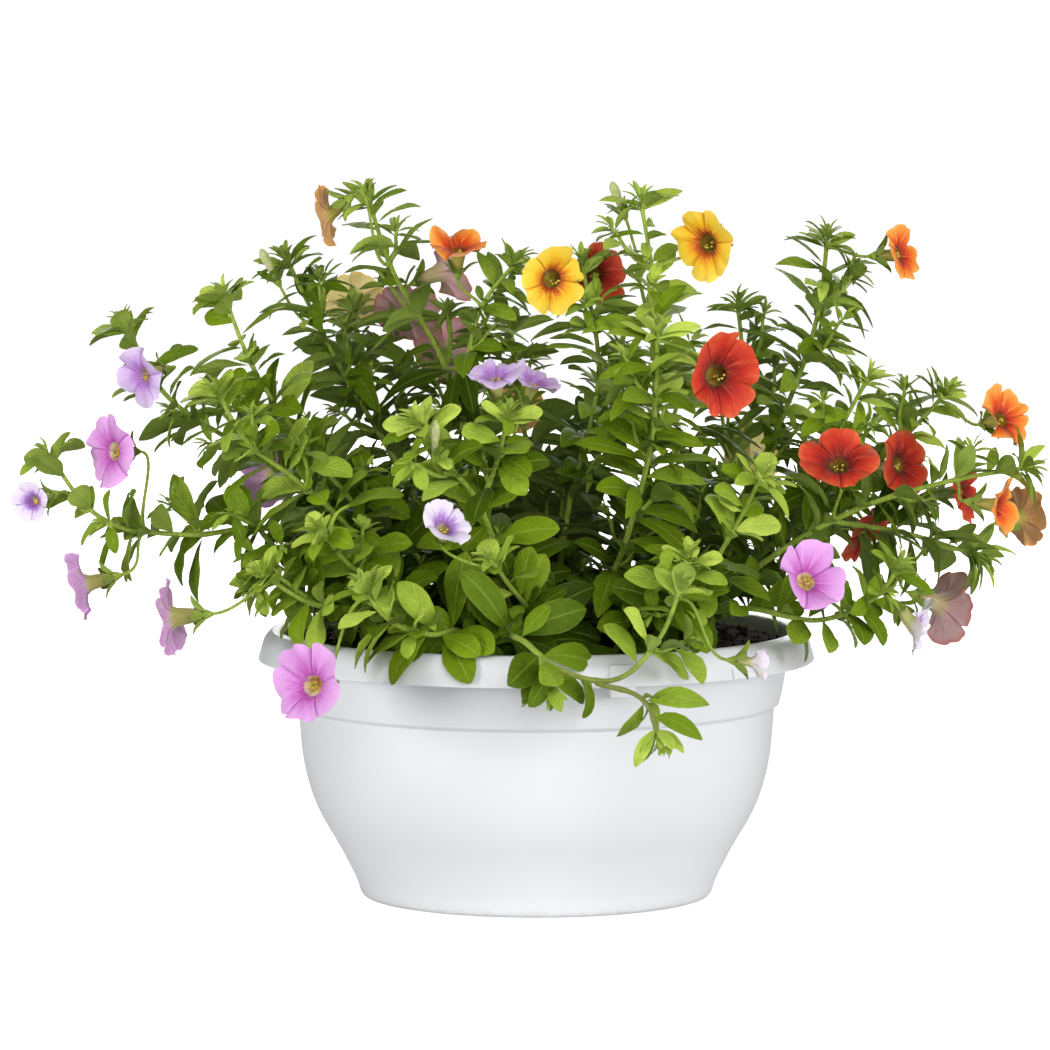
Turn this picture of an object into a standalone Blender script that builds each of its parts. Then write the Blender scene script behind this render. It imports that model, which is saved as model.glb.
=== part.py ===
"""A calibrachoa in flower, planted in a round white bowl pot with a down-turned rim.

Lengths are millimetres until a mesh is made, and angles are degrees. The origin is the middle
of the pot's foot, +Z is up, and -Y is the side that the plant shows best.
"""

import math
import random

import bmesh
import bpy
from mathutils import Quaternion, Vector, noise
from mathutils.bvhtree import BVHTree

MM = 0.001
UP = Vector((0, 0, 1))

# The pot: half outlines as (radius, height), outside from the foot up, and inside from the rim down.
POT_SIDES = 32
POT_OUTSIDE = (
    (77.5, 0), (79, 1.5), (81, 7.7), (88.2, 22.2), (99, 39.8), (105, 60), (107, 85), (109.2, 87.2),
    (112, 99.5), (113, 114.5), (117.5, 115), (122.4, 106.5), (125, 106.5), (122.2, 116.4), (118.6, 120),
    (115.2, 120),
)
POT_INSIDE = ((113.4, 118), (109.4, 99.5), (104.4, 84), (102, 60), (85.6, 24.4), (77, 5))
LUG_WIDTH, LUG_DEPTH, LUG_HEIGHT = 12, 5, 15
LUG_ANGLE, LUG_RADIUS, LUG_MIDDLE = -72.5, 121.5, 109

# The soil: its fit in the pot, its uneven top, and the holes that the stems stand in.
SOIL_TOP, SOIL_GAP = 108, 0.35
SOIL_RINGS = (88, 54, 24)
SOIL_SWELL, SOIL_SWELL_SIZE = 2.2, 26
HOLE_DEPTH, HOLE_PLAY, HOLE_SIDES, HOLE_GAP = 11, 1.2, 6, 0.4

# Stems: half the diagonal of their four-sided section at the soil, at a side shoot's root and at the
# tip. Leaves stand at stations, whose faces are twice NODE_HALF high, and each turns on from the last.
STEM_ROOT, SHOOT_ROOT, STEM_TIP = 2.3, 1.725, 1.3
STEM_RISE, STEM_FOOT = 4, 3
NODE_HALF, ROOT_DEPTH = 1.2, 0.7
STATION_GAP, STATION_TURN, TIP_LENGTH = 28, 52, 7
BARE_STEM, BARE_SHOOT = 30, 12

# Leaves: thickness at the rib, how far the sides fold up, and where along it the two sections are.
LEAF_THICK, LEAF_FOLD = 1.3, 0.2
LEAF_SECTIONS = (0.42, 0.76)
LEAF_SKIN_FROM = 0.2
SMALL_LEAF, SMALL_SECTION = 23, 0.58
LEAF_ALONG_STEM, LEAF_UPWARDS = 0.5, 0.8
CLEAR, ROOT_CLEAR, STEM_CLEAR = 0.45, 0.27, 1.0

# How a leaf's length and pitch change up the stem, and the ranges that they are drawn from.
LENGTH_LOW, LENGTH_LOSS, LENGTH_RANGE = 1.14, 0.36, (0.88, 1.1)
PITCH_LOW, PITCH_LOSS, PITCH_PLAY, TURN_PLAY = 74, 20, 8, 12
TIP_RANGE, TIP_PITCH, TIP_PITCH_PLAY = (0.46, 0.6), 46, 6
NEXT_RANGE = (0.66, 0.84)

# What a leaf, a bloom or a stem does to keep clear of its neighbours: it takes the first that fits.
LEAF_TRIES = (
    (0, 0, 1), (14, 12, 1), (-12, -14, 1), (24, -20, 1), (-8, 30, 1), (30, 10, 0.86), (-16, -30, 0.86),
    (12, -38, 0.8), (0, 40, 0.8), (34, -10, 0.7), (-14, 12, 0.66), (10, 26, 0.56), (20, -26, 0.5),
)
STEM_TRIES = tuple(
    Vector((reach * math.cos(turn), reach * math.sin(turn), rise))
    for reach, rise in ((0, 0), (4, 0), (7, 3), (10, -3), (13, 4))
    for turn in ((0,) if reach == 0 else [k * math.pi / 3 for k in range(6)])
)
BLOOM_TRIES = (0, -4, 4, -8, 8, -13, 13, -18, 18)

# Leaf kinds: width over length, the two powers that set where the leaf is widest, and how it arches.
BROAD = (0.48, 1.45, 0.58, 0.16)
SLIM = (0.35, 1.05, 0.74, 0.22)

# Blooms: the tube's foot and the petals' thickness, then the tube, throat, mouth and rim's rise as parts
# of the width, the well as a part of the tube, and the rim of one lobe as (turn, part of the radius).
TUBE_ROOT, PETAL_THICK = 1.7, 1.3
TUBE, THROAT, MOUTH, RIM_RISE, WELL = 0.4, 0.12, 0.085, 0.05, 0.5
LOBE_EDGE = ((0, 0.84), (18, 1), (54, 1))

# Flower stalks: half diagonal, the reach that one may have, how many stems are tried, how much a stalk
# that turns back counts as longer, and how far it runs straight at its root and under the calyx.
STALK, STALK_RINGS = 0.85, 3
STALK_LEAST, STALK_MOST, STALK_CHOICES, TURNED_BACK = 14, 75, 16, 1.5
STALK_ALONG_STEM, STALK_LEAVES, STALK_ENTERS, STALK_NECK = 0.5, 0.3, 0.35, 1.2

# The green cup under a bloom: its half width at the top and, as a part of that, at its foot, its depth,
# the gap to the bloom's tube, and its sepals' length and how far out and up their tips stand.
CALYX_HALF, CALYX_FOOT, CALYX_DEEP, CALYX_GAP = 2.5, 0.8, 3, 0.35
SEPAL, SEPAL_OUT, SEPAL_UP = 8, 0.75, 0.7

# A closed bud: its rings as (part of the length, radius).
BUD_RINGS = ((0.15, 1.5), (0.62, 2.3), (0.86, 1.6))

PINK, LILAC, WHITE = (0.72, 0.22, 0.66), (0.76, 0.55, 0.83), (0.86, 0.80, 0.88)
POT_WHITE, SOIL_BROWN = (0.83, 0.84, 0.86), (0.035, 0.024, 0.018)
RED, ORANGE, YELLOW = (0.66, 0.06, 0.03), (0.85, 0.30, 0.05), (0.92, 0.56, 0.04)
BRIGHT, MID, DEEP = (0.24, 0.42, 0.06), (0.15, 0.31, 0.05), (0.08, 0.20, 0.04)

# Leafy stems: name, where it leaves the soil, the points that it passes, its longest leaf, the leaf
# kind and its green. A side shoot gives, in place of the soil point, how far up the stem it leaves.
STEMS = (
    ("tall_left", (-22, 22), ((-26, 25, 175), (-43, 22, 240), (-66, 16, 283), (-76, 10, 315)), 33, SLIM, MID),
    ("tall_left", 0.52, ((-32, -4, 240), (-24, -8, 266), (-7, -12, 287)), 27, SLIM, MID),
    ("upright", (8, 14), ((14, 12, 170), (28, 6, 236), (20, 0, 286)), 32, SLIM, MID),
    ("tall_middle", (28, -2), (
        (44, -10, 160), (52, -15, 214), (53, -15, 268), (46, -15, 315),
    ), 32, SLIM, BRIGHT),
    ("tall_right", (50, 24), (
        (84, 22, 162), (112, 20, 216), (127, 20, 261), (131, 15, 297),
    ), 31, SLIM, MID),
    ("tall_right", 0.5, ((98, 46, 226), (91, 48, 266)), 26, SLIM, MID),
    ("tall_right", 0.17, ((100, 52, 164), (138, 70, 188), (162, 80, 214)), 30, SLIM, BRIGHT),
    ("right_arm", (60, 6), (
        (92, 0, 146), (138, -5, 182), (169, -14, 212), (184, -20, 229),
    ), 31, SLIM, BRIGHT),
    ("right_arm", 0.5, ((134, -30, 210), (148, -40, 238)), 26, SLIM, BRIGHT),
    ("far_right", (58, -18), (
        (92, -34, 146), (143, -45, 178), (183, -45, 190), (220, -40, 196),
    ), 32, SLIM, MID),
    ("far_right", 0.55, ((166, -18, 164), (201, -4, 152)), 34, SLIM, DEEP),
    ("low_right", (46, -40), (
        (88, -62, 135), (128, -76, 132), (150, -76, 143), (160, -75, 157),
    ), 28, BROAD, MID),
    ("rim_trailer", (-4, -70), (
        (-13, -98, 126), (-6, -120, 127), (10, -136, 116), (34, -137, 112), (52, -130, 128), (63, -118, 152),
    ), 30, BROAD, MID),
    ("rim_trailer", 0.62, ((46, -150, 104), (53, -157, 86)), 30, SLIM, MID),
    ("front_middle", (-4, -44), ((-4, -74, 136), (-11, -92, 147), (-21, -98, 161)), 30, BROAD, BRIGHT),
    ("front_left", (-24, -62), (
        (-34, -90, 128), (-48, -112, 129), (-64, -120, 136), (-76, -120, 152),
    ), 32, BROAD, BRIGHT),
    ("left_front", (-44, -34), ((-66, -58, 142), (-84, -78, 158), (-95, -85, 173)), 30, BROAD, BRIGHT),
    ("left_front", 0.4, ((-98, -82, 139), (-121, -92, 154)), 28, BROAD, BRIGHT),
    ("left_tall", (-50, 2), (
        (-78, -16, 172), (-108, -26, 211), (-126, -30, 240), (-139, -30, 273),
    ), 33, BROAD, BRIGHT),
    ("left_middle", (-54, -16), (
        (-82, -45, 168), (-106, -60, 192), (-126, -66, 208), (-141, -70, 233),
    ), 33, BROAD, BRIGHT),
    ("far_left_high", (-48, 22), (
        (-92, 16, 172), (-134, 6, 202), (-166, 0, 225), (-185, 0, 259),
    ), 31, BROAD, MID),
    ("far_left", (-66, -4), (
        (-84, -24, 150), (-118, -36, 168), (-155, -45, 166), (-193, -45, 174), (-217, -40, 203),
    ), 30, BROAD, MID),
    ("far_left", 0.36, ((-110, -58, 150), (-126, -76, 144)), 26, BROAD, DEEP),
    ("centre_left", (-16, -22), (
        (-18, -56, 160), (-29, -84, 189), (-42, -98, 205), (-53, -102, 222),
    ), 32, BROAD, BRIGHT),
    ("centre_left", 0.6, ((-16, -94, 207), (-12, -98, 226)), 27, BROAD, BRIGHT),
    ("centre_right", (22, -26), ((40, -46, 165), (51, -62, 213), (53, -70, 260)), 34, SLIM, BRIGHT),
    ("right_front", (34, -50), ((66, -66, 138), (84, -82, 168), (99, -92, 198)), 29, BROAD, BRIGHT),
    ("right_front", 0.24, ((64, -92, 140), (66, -102, 164)), 28, BROAD, BRIGHT),
    ("back_left", (-34, 38), ((-58, 42, 180), (-88, 42, 233), (-114, 36, 286)), 33, SLIM, DEEP),
    ("back_left", 0.5, ((-76, 66, 228), (-86, 84, 262)), 28, SLIM, DEEP),
    ("back_far_left", (-46, 46), ((-84, 72, 158), (-122, 96, 186), (-150, 108, 214)), 31, BROAD, MID),
    ("back_far_left", 0.5, ((-96, 120, 176), (-112, 146, 190)), 27, BROAD, MID),
    ("back_middle", (2, 42), ((2, 68, 168), (-8, 96, 215), (-12, 112, 252)), 33, SLIM, MID),
    ("back_middle", 0.2, ((-34, 92, 164), (-54, 120, 178)), 29, SLIM, MID),
    ("back_middle", 0.5, ((24, 102, 202), (36, 122, 228)), 28, SLIM, MID),
    ("back_trailer", (-12, 66), (
        (-16, 98, 136), (-22, 138, 142), (-36, 172, 138), (-40, 188, 156),
    ), 29, BROAD, BRIGHT),
    ("back_trailer", 0.3, ((8, 132, 150), (18, 154, 166)), 27, BROAD, BRIGHT),
    ("back_right", (34, 50), ((62, 84, 150), (88, 114, 180), (106, 126, 218)), 31, SLIM, MID),
    ("back_right", 0.4, ((60, 134, 152), (66, 164, 160)), 27, SLIM, MID),
)

# Blooms: name, colour, middle of the mouth, the way it faces as a turn about +Z from -Y and a rise,
# and width.
BLOOMS = (
    ("bloom_orange_tall_left", ORANGE, (-94, 10, 305), -110, -35, 29),
    ("bloom_red_top", RED, (-42, 24, 279), 60, 20, 35),
    ("bloom_orange_top", ORANGE, (-35, -14, 291), 0, 68, 27),
    ("bloom_yellow_top", YELLOW, (7, -28, 278), -20, 5, 33),
    ("bloom_red_behind_yellow", RED, (27, 0, 278), 28, 0, 30),
    ("bloom_yellow_right", YELLOW, (75, -32, 294), -24, 4, 34),
    ("bloom_orange_tall_right", ORANGE, (163, 0, 288), 72, 5, 27),
    ("bloom_red_front", RED, (78, -97, 240), -18, 2, 41),
    ("bloom_red_right", RED, (132, -72, 200), -8, 34, 38),
    ("bloom_red_right_behind", RED, (162, -26, 196), 50, 12, 33),
    ("bloom_orange_far_right", ORANGE, (206, -40, 217), 38, 12, 30),
    ("bloom_red_far_right", RED, (192, 0, 182), 70, 10, 30),
    ("bloom_orange_edge", ORANGE, (203, -58, 180), 72, -6, 28),
    ("bloom_orange_turned", ORANGE, (219, 22, 168), 132, 6, 31),
    ("bloom_red_low", RED, (147, -12, 164), 62, -30, 31),
    ("bloom_pink_right", PINK, (117, -108, 152), 6, 16, 35),
    ("bloom_white_right", WHITE, (166, -78, 129), 58, -42, 30),
    ("bloom_red_turned", RED, (184, 22, 128), 118, -20, 38),
    ("bloom_white_rim", WHITE, (93, -124, 118), 78, -4, 17),
    ("bloom_lilac_left", LILAC, (-175, -26, 235), -52, -12, 29),
    ("bloom_pink_left", PINK, (-187, -56, 204), -42, 4, 34),
    ("bloom_white_far_left", WHITE, (-222, -46, 181), -62, -16, 21),
    ("bloom_pink_low_left", PINK, (-198, -76, 147), -84, -14, 32),
    ("bloom_pink_edge", PINK, (-160, -92, 134), -98, -6, 38),
    ("bloom_pink_rim", PINK, (-97, -134, 109), -18, -4, 38),
    ("bloom_white_middle", WHITE, (-40, -130, 177), 4, 34, 27),
    ("bloom_lilac_middle", LILAC, (-18, -88, 239), -12, 66, 27),
    ("bloom_lilac_middle_right", LILAC, (-1, -68, 235), 42, 58, 24),
    ("bloom_red_back_left", RED, (-60, 64, 258), 160, 22, 32),
    ("bloom_red_back", RED, (-42, 84, 240), 168, 12, 33),
    ("bloom_yellow_back_left", YELLOW, (-84, 100, 262), 190, 14, 29),
    ("bloom_orange_back", ORANGE, (-10, 146, 208), 178, 24, 31),
    ("bloom_yellow_back_right", YELLOW, (100, 152, 184), 160, 20, 32),
    ("bloom_pink_back_left", PINK, (-124, 152, 176), 208, 12, 34),
    ("bloom_lilac_back", LILAC, (-46, 206, 150), 188, 14, 30),
)

# Buds: the middle of each closed bud, the way that it points, and its length.
BUDS = (
    ((-121, 32, 282), -60, 60, 16), ((36, -10, 314), -60, 66, 15), ((-44, -104, 214), 10, 80, 15),
    ((138, 22, 272), 60, 50, 17), ((-30, 150, 160), 200, 40, 15), ((128, 92, 192), 140, 40, 15),
)


def facing(turn, rise):
    """The unit direction at a turn about +Z from -Y, positive towards +X, and a rise above the level."""
    turn, rise = math.radians(turn), math.radians(rise)
    return Vector((math.sin(turn) * math.cos(rise), -math.cos(turn) * math.cos(rise), math.sin(rise)))


def across(direction, spin=0.0):
    """Two unit vectors square to the direction and to each other, turned by the spin about it."""
    start = UP if abs(direction.z) < 0.9 else Vector((0, 1, 0))
    first = Quaternion(direction, math.radians(spin)) @ direction.cross(start).normalized()
    return first, direction.cross(first)


class Route:
    """A smooth line through knots, with a frame along it that doesn't twist."""

    def __init__(self, knots):
        self.points = self.through([Vector(knot) for knot in knots])
        steps = [b - a for a, b in zip(self.points, self.points[1:])]
        self.reach = [0.0]
        for step in steps:
            self.reach.append(self.reach[-1] + step.length)
        self.length = self.reach[-1]
        self.ways = [step.normalized() for step in steps] + [steps[-1].normalized()]
        self.sides = [across(self.ways[0])[0]]
        for way in self.ways[1:]:
            side = self.sides[-1] - way * self.sides[-1].dot(way)
            self.sides.append(side.normalized())

    @staticmethod
    def through(knots, per_span=10):
        """A curve that leaves each knot in the mean way of its two spans, the shorter one counting more."""
        spans = [b - a for a, b in zip(knots, knots[1:])]
        ways = [spans[0].normalized()]
        for before, after in zip(spans, spans[1:]):
            ways.append((before / before.length_squared + after / after.length_squared).normalized())
        ways.append(spans[-1].normalized())
        points = []
        for k, span in enumerate(spans):
            for step in range(per_span):
                t = step / per_span
                ease = t * t * (3 - 2 * t)
                lean = ways[k] * (t * (1 - t) ** 2) - ways[k + 1] * (t * t * (1 - t))
                points.append(knots[k] + span * ease + lean * span.length)
        return points + [knots[-1]]

    def at(self, distance):
        """Place, way and side of the line at a distance along it."""
        span = 0
        while span < len(self.reach) - 2 and self.reach[span + 1] < distance:
            span += 1
        share = (distance - self.reach[span]) / (self.reach[span + 1] - self.reach[span])
        place = self.points[span].lerp(self.points[span + 1], share)
        way = self.ways[span].lerp(self.ways[span + 1], min(max(share, 0), 1)).normalized()
        side = self.sides[span] - way * self.sides[span].dot(way)
        return place, way, side.normalized()


def fanned(faces):
    """Every face as triangles from its first corner."""
    return [(face[0], face[k], face[k + 1]) for face in faces for k in range(1, len(face) - 1)]


class Growth:
    """The points and faces of one grown piece, which is closed at every step of its making."""

    def __init__(self):
        self.points = []
        self.faces = []

    def ring(self, points):
        self.points.extend(Vector(point) for point in points)
        return list(range(len(self.points) - len(points), len(self.points)))

    def wall(self, low, high):
        """Four-sided faces between two rings of the same count."""
        for j in range(len(low)):
            k = (j + 1) % len(low)
            self.faces.append((low[j], low[k], high[k], high[j]))

    def blade_wall(self, low, high):
        """Faces between two leaf sections, split alike on the upper and the lower face."""
        for edge, rib in ((0, 1), (2, 3)):
            self.faces += [(low[edge], low[rib], high[edge]), (low[rib], high[rib], high[edge])]
            after = (rib + 1) % 4
            self.faces += [(low[rib], low[after], high[after]), (low[rib], high[after], high[rib])]

    def stitch(self, low, high):
        """Triangles between two rings of different counts."""
        start = min(range(len(high)), key=lambda j: (self.points[high[j]] - self.points[low[0]]).length)
        high = high[start:] + high[:start]
        i = j = 0
        while i < len(low) or j < len(high):
            a, b = low[i % len(low)], high[j % len(high)]
            a_next, b_next = low[(i + 1) % len(low)], high[(j + 1) % len(high)]
            step_low = (self.points[a_next] - self.points[b]).length
            step_high = (self.points[b_next] - self.points[a]).length
            if j >= len(high) or (i < len(low) and step_low < step_high):
                self.faces.append((a, a_next, b))
                i += 1
            else:
                self.faces.append((a, b_next, b))
                j += 1

    def tip(self, ring, point):
        top = self.ring([point])[0]
        for j in range(len(ring)):
            self.faces.append((ring[j], ring[(j + 1) % len(ring)], top))

    def take(self, face):
        """Opens the face that something grows from, and gives its ring."""
        self.faces.remove(face)
        return list(face)


def square(place, way, side, half, turn):
    """Four corners round a line, so that face j looks along the side vector turned by turn + 90 j."""
    corners = []
    for j in range(4):
        angle = math.radians(turn + 90 * j - 45)
        corners.append(place + (side * math.cos(angle) + way.cross(side) * math.sin(angle)) * half)
    return corners


def lined_up(corners, places, targets):
    """The four corners, started at the one from which their places lie best with the targets."""
    def spread(shift):
        return sum((places[(j + shift) % 4] - targets[j]).length_squared for j in range(4))
    shift = min(range(4), key=spread)
    return [corners[(j + shift) % 4] for j in range(4)]


class Leaf:
    """A leaf's rib, face and outline. It grows out of a stem face at its root."""

    def __init__(self, root, way, out, length, kind, pitch, turn):
        ratio, self.low_power, self.high_power, self.arch = kind
        out = Quaternion(way, math.radians(turn)) @ out
        pitch = math.radians(pitch)
        self.root, self.length, self.width = root, length, length * ratio
        self.along = way * math.cos(pitch) + out * math.sin(pitch)
        hint = way * LEAF_ALONG_STEM + UP * LEAF_UPWARDS
        self.up = (hint - self.along * hint.dot(self.along)).normalized()
        self.side = self.along.cross(self.up)

    def rib(self, t):
        return self.root + (self.along * t - self.up * self.arch * t * t) * self.length

    def half_width(self, t):
        a, b = self.low_power, self.high_power
        peak = (a / (a + b)) ** a * (b / (a + b)) ** b
        return self.width / 2 * t**a * (1 - t) ** b / peak

    def section(self, t, grow=0.0):
        """Edge, upper rib, edge and lower rib at t along the leaf."""
        middle, half = self.rib(t), self.half_width(t) + grow
        up = (self.up + self.along * 2 * self.arch * t).normalized()
        thick = up * (LEAF_THICK / 2 + grow)
        lift = up * half * LEAF_FOLD
        edge = self.side * half
        return middle - edge + lift, middle + thick, middle + edge + lift, middle - thick

    def sections(self):
        return (SMALL_SECTION,) if self.length < SMALL_LEAF else LEAF_SECTIONS

    def grow(self, growth, ring):
        for t in self.sections():
            corners = self.section(t)
            if t == self.sections()[0]:
                ring = lined_up(ring, [growth.points[k] for k in ring], corners)
            new = growth.ring(corners)
            growth.blade_wall(ring, new)
            ring = new
        growth.tip(ring, self.rib(1))

    def envelope(self):
        """A closed skin a little outside the leaf, from just past its root to its tip."""
        skin = Growth()
        ring = skin.ring(self.section(LEAF_SKIN_FROM, ROOT_CLEAR))
        skin.faces.append(tuple(reversed(ring)))
        for t in self.sections():
            new = skin.ring(self.section(t, CLEAR))
            skin.blade_wall(ring, new)
            ring = new
        skin.tip(ring, self.rib(1 + CLEAR / self.length))
        return skin


class Clearing:
    """What stands already, for finding whether a new piece would touch it."""

    def __init__(self):
        self.held = []

    @staticmethod
    def box(points):
        lows = Vector(tuple(min(p[axis] for p in points) for axis in range(3)))
        highs = Vector(tuple(max(p[axis] for p in points) for axis in range(3)))
        return lows, highs

    def add(self, points, faces, owner=None):
        self.held.append((*self.box(points), BVHTree.FromPolygons(points, fanned(faces)), owner))

    def hits(self, points, faces, owner=None):
        """Whether these faces touch anything that stands, apart from what the owner holds."""
        low, high = self.box(points)
        tree = BVHTree.FromPolygons(points, fanned(faces))
        for other_low, other_high, other, other_owner in self.held:
            apart = any(low[k] > other_high[k] or high[k] < other_low[k] for k in range(3))
            own = owner is not None and owner == other_owner
            if not apart and not own and tree.overlap(other):
                return True
        return False


def crosses_itself(growth, faces_before):
    """Whether the faces added since then cross any face, away from the corners that they share."""
    every, new = fanned(growth.faces), fanned(growth.faces[faces_before:])
    every_tree = BVHTree.FromPolygons(growth.points, every)
    new_tree = BVHTree.FromPolygons(growth.points, new)
    return any(not set(new[i]) & set(every[j]) for i, j in new_tree.overlap(every_tree))


class Shoot:
    """One leafy stem: its line, its thickness and the stations where leaves and stalks leave it."""

    def __init__(self, number, name, knots, leaf, kind, green, root_half, from_soil):
        self.number, self.name, self.leaf, self.kind, self.green = number, name, leaf, kind, green
        self.route = Route(knots)
        self.root_half, self.from_soil, self.swell = root_half, from_soil, 0.0
        draws = random.Random(number)
        self.first_turn = draws.uniform(0, 90)
        bare = BARE_STEM if from_soil else BARE_SHOOT
        count = max(2, round((self.route.length - bare) / STATION_GAP))
        gap = (self.route.length - bare - TIP_LENGTH) / count
        self.distances = [bare + gap * step for step in range(count + 1)]
        self.taken = {}

    def half(self, distance):
        return self.root_half + (STEM_TIP - self.root_half) * distance / self.route.length + self.swell

    def turn(self, station):
        return self.first_turn + STATION_TURN * station

    def ring_points(self, distance, station):
        place, way, side = self.route.at(distance)
        return square(place, way, side, self.half(distance), self.turn(station))

    def out(self, station, face):
        """Place, way and outward direction of one of a station's four faces."""
        place, way, side = self.route.at(self.distances[station])
        outward = Quaternion(way, math.radians(self.turn(station) + 90 * face)) @ side
        return place + outward * self.half(self.distances[station]) * ROOT_DEPTH, way, outward

    def best_face(self, station, towards):
        free = [face for face in range(4) if (station, face) not in self.taken]
        return max(free, key=lambda face: self.out(station, face)[2].dot(towards), default=None)

    def tube(self, growth, ring):
        """The stem itself, from the ring that it starts at. Gives the faces of each station."""
        faces = {}
        if self.from_soil:
            foot = growth.ring(self.ring_points(0, 0))
            growth.faces.append(tuple(reversed(foot)))
            ring = growth.ring(self.ring_points(HOLE_DEPTH + STEM_FOOT, 0))
            growth.wall(foot, ring)
        for station, distance in enumerate(self.distances):
            low = growth.ring(self.ring_points(distance - NODE_HALF, station))
            if ring is None:
                growth.faces.append(tuple(reversed(low)))
            else:
                if station == 0:
                    ring = lined_up(ring, [growth.points[k] for k in ring], [growth.points[k] for k in low])
                growth.wall(ring, low)
            high = growth.ring(self.ring_points(distance + NODE_HALF, station))
            growth.wall(low, high)
            for face in range(4):
                faces[station, face] = growth.faces[-4 + face]
            ring = high
        growth.tip(ring, self.route.points[-1])
        return faces

    def skin(self):
        """A closed skin a little outside the stem, for keeping clear of it."""
        skin, self.swell = Growth(), STEM_CLEAR
        self.tube(skin, None)
        self.swell = 0.0
        return skin


class Bloom:
    """A corolla: a short tube from the calyx, and a mouth of five joined lobes that thins to its rim."""

    def __init__(self, number, name, colour, middle, turn, rise, width, shift):
        self.name, self.colour, self.width = name, colour, width
        self.way = facing(turn, rise)
        self.middle = Vector(middle) + Vector((0, shift, 0))
        self.tube = width * TUBE
        self.base = self.middle - self.way * self.tube
        self.first, self.second = across(self.way, random.Random(number).uniform(0, 72))

    def circle(self, radius, height, angles):
        """Points round the axis at a height from the mouth, towards which the height grows."""
        points = []
        for angle, share in angles:
            angle = math.radians(angle)
            spoke = self.first * math.cos(angle) + self.second * math.sin(angle)
            points.append(self.middle + self.way * height + spoke * radius * share)
        return points

    def corolla(self):
        fifths = [(72 * k, 1) for k in range(5)]
        lobes = [(72 * k + turn, share) for k in range(5) for turn, share in LOBE_EDGE]
        petal = Growth()
        ring = petal.ring(self.circle(TUBE_ROOT, -self.tube, fifths))
        petal.faces.append(tuple(reversed(ring)))
        throat = petal.ring(self.circle(self.width * THROAT, -PETAL_THICK, fifths))
        petal.wall(ring, throat)
        edge = petal.ring(self.circle(self.width / 2, self.width * RIM_RISE, lobes))
        petal.stitch(throat, edge)
        mouth = petal.ring(self.circle(self.width * MOUTH, 0, fifths))
        petal.stitch(edge, mouth)
        petal.tip(mouth, self.middle - self.way * self.tube * WELL)
        return petal


def stalk(growth, ring, start, way, end, end_way):
    """A flower stalk from a stem face to the calyx, and the ring that it ends in."""
    reach = (end - start).length
    knots = [start, start + way * reach * STALK_LEAVES, end - end_way * reach * STALK_ENTERS, end]
    for step in range(1, STALK_RINGS + 1):
        t = step / STALK_RINGS
        s = 1 - t
        place = knots[0] * s**3 + (knots[1] * s + knots[2] * t) * 3 * s * t + knots[3] * t**3
        along = (knots[1] - knots[0]) * s * s + (knots[2] - knots[1]) * 2 * s * t
        along = (along + (knots[3] - knots[2]) * t * t).normalized()
        corners = square(place, along, across(along)[0], STALK, 0)
        new = growth.ring(lined_up(corners, corners, [growth.points[k] for k in ring]))
        growth.wall(ring, new)
        ring = new
    return ring


def calyx(growth, ring, place, way):
    """The green cup under a bloom, with five narrow sepals. Its flat top is at the place given."""
    first, second = across(way)

    def circle(radius, height):
        points = []
        for k in range(5):
            angle = math.radians(72 * k)
            spoke = first * math.cos(angle) + second * math.sin(angle)
            points.append(place + way * height + spoke * radius)
        return points

    low = growth.ring(circle(CALYX_HALF * CALYX_FOOT, -CALYX_DEEP))
    growth.stitch(ring, low)
    high = growth.ring(circle(CALYX_HALF, 0))
    growth.wall(low, high)
    sides = growth.faces[-5:]
    growth.faces.append(tuple(high))
    for k, side in enumerate(sides):
        angle = math.radians(72 * k + 36)
        spoke = first * math.cos(angle) + second * math.sin(angle)
        growth.tip(growth.take(side), place + (spoke * SEPAL_OUT + way * SEPAL_UP) * SEPAL)
    return high


class Attempt:
    """A growth as it was, for going back to when a new piece of it doesn't fit."""

    def __init__(self, growth):
        self.growth = growth
        self.points, self.faces = len(growth.points), list(growth.faces)

    def undo(self):
        del self.growth.points[self.points:]
        self.growth.faces[:] = self.faces

    def added(self, opened=1):
        """The points and faces that are new, where some of the old faces were opened."""
        faces = self.growth.faces[len(self.faces) - opened:]
        used = sorted({corner for face in faces for corner in face})
        place = {corner: k for k, corner in enumerate(used)}
        points = [self.growth.points[corner] for corner in used]
        return points, [tuple(place[corner] for corner in face) for face in faces]


def flower_stalk(growth, shoot, station, face, top, direction):
    """Grows a stalk with its calyx from a stem face to the point under a bloom, and gives its flat top."""
    root, way, out = shoot.out(station, face)
    under = top - direction * (CALYX_DEEP + STALK_NECK)
    leaving = (way * STALK_ALONG_STEM + out).normalized()
    ring = stalk(growth, growth.take(shoot.faces[station, face]), root, leaving, under, direction)
    return calyx(growth, ring, top, direction)


def bud(growth, top, middle, way, length):
    """A closed bud on its calyx: a slim spindle."""
    first, second = across(way)
    ring = growth.take(tuple(top))
    for share, half in BUD_RINGS:
        corners = []
        for k in range(5):
            angle = math.radians(72 * k)
            spoke = first * math.cos(angle) + second * math.sin(angle)
            corners.append(middle + way * length * share + spoke * half)
        new = growth.ring(corners)
        growth.wall(ring, new)
        ring = new
    growth.tip(ring, middle + way * length)


def nearest_stations(shoots, place, direction):
    """Stations from which a stalk can reach a bloom, the best first."""
    choices = []
    for shoot in shoots:
        for station in range(len(shoot.distances)):
            root, way, _ = shoot.out(station, 0)
            gap = place - root
            turned_back = max(0.0, -gap.normalized().dot(direction))
            if STALK_LEAST < gap.length < STALK_MOST:
                choices.append((gap.length * (1 + TURNED_BACK * turned_back), shoot.number, station, shoot))
    return [(shoot, station) for _, _, station, shoot in sorted(choices, key=lambda c: c[:3])[:STALK_CHOICES]]


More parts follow.
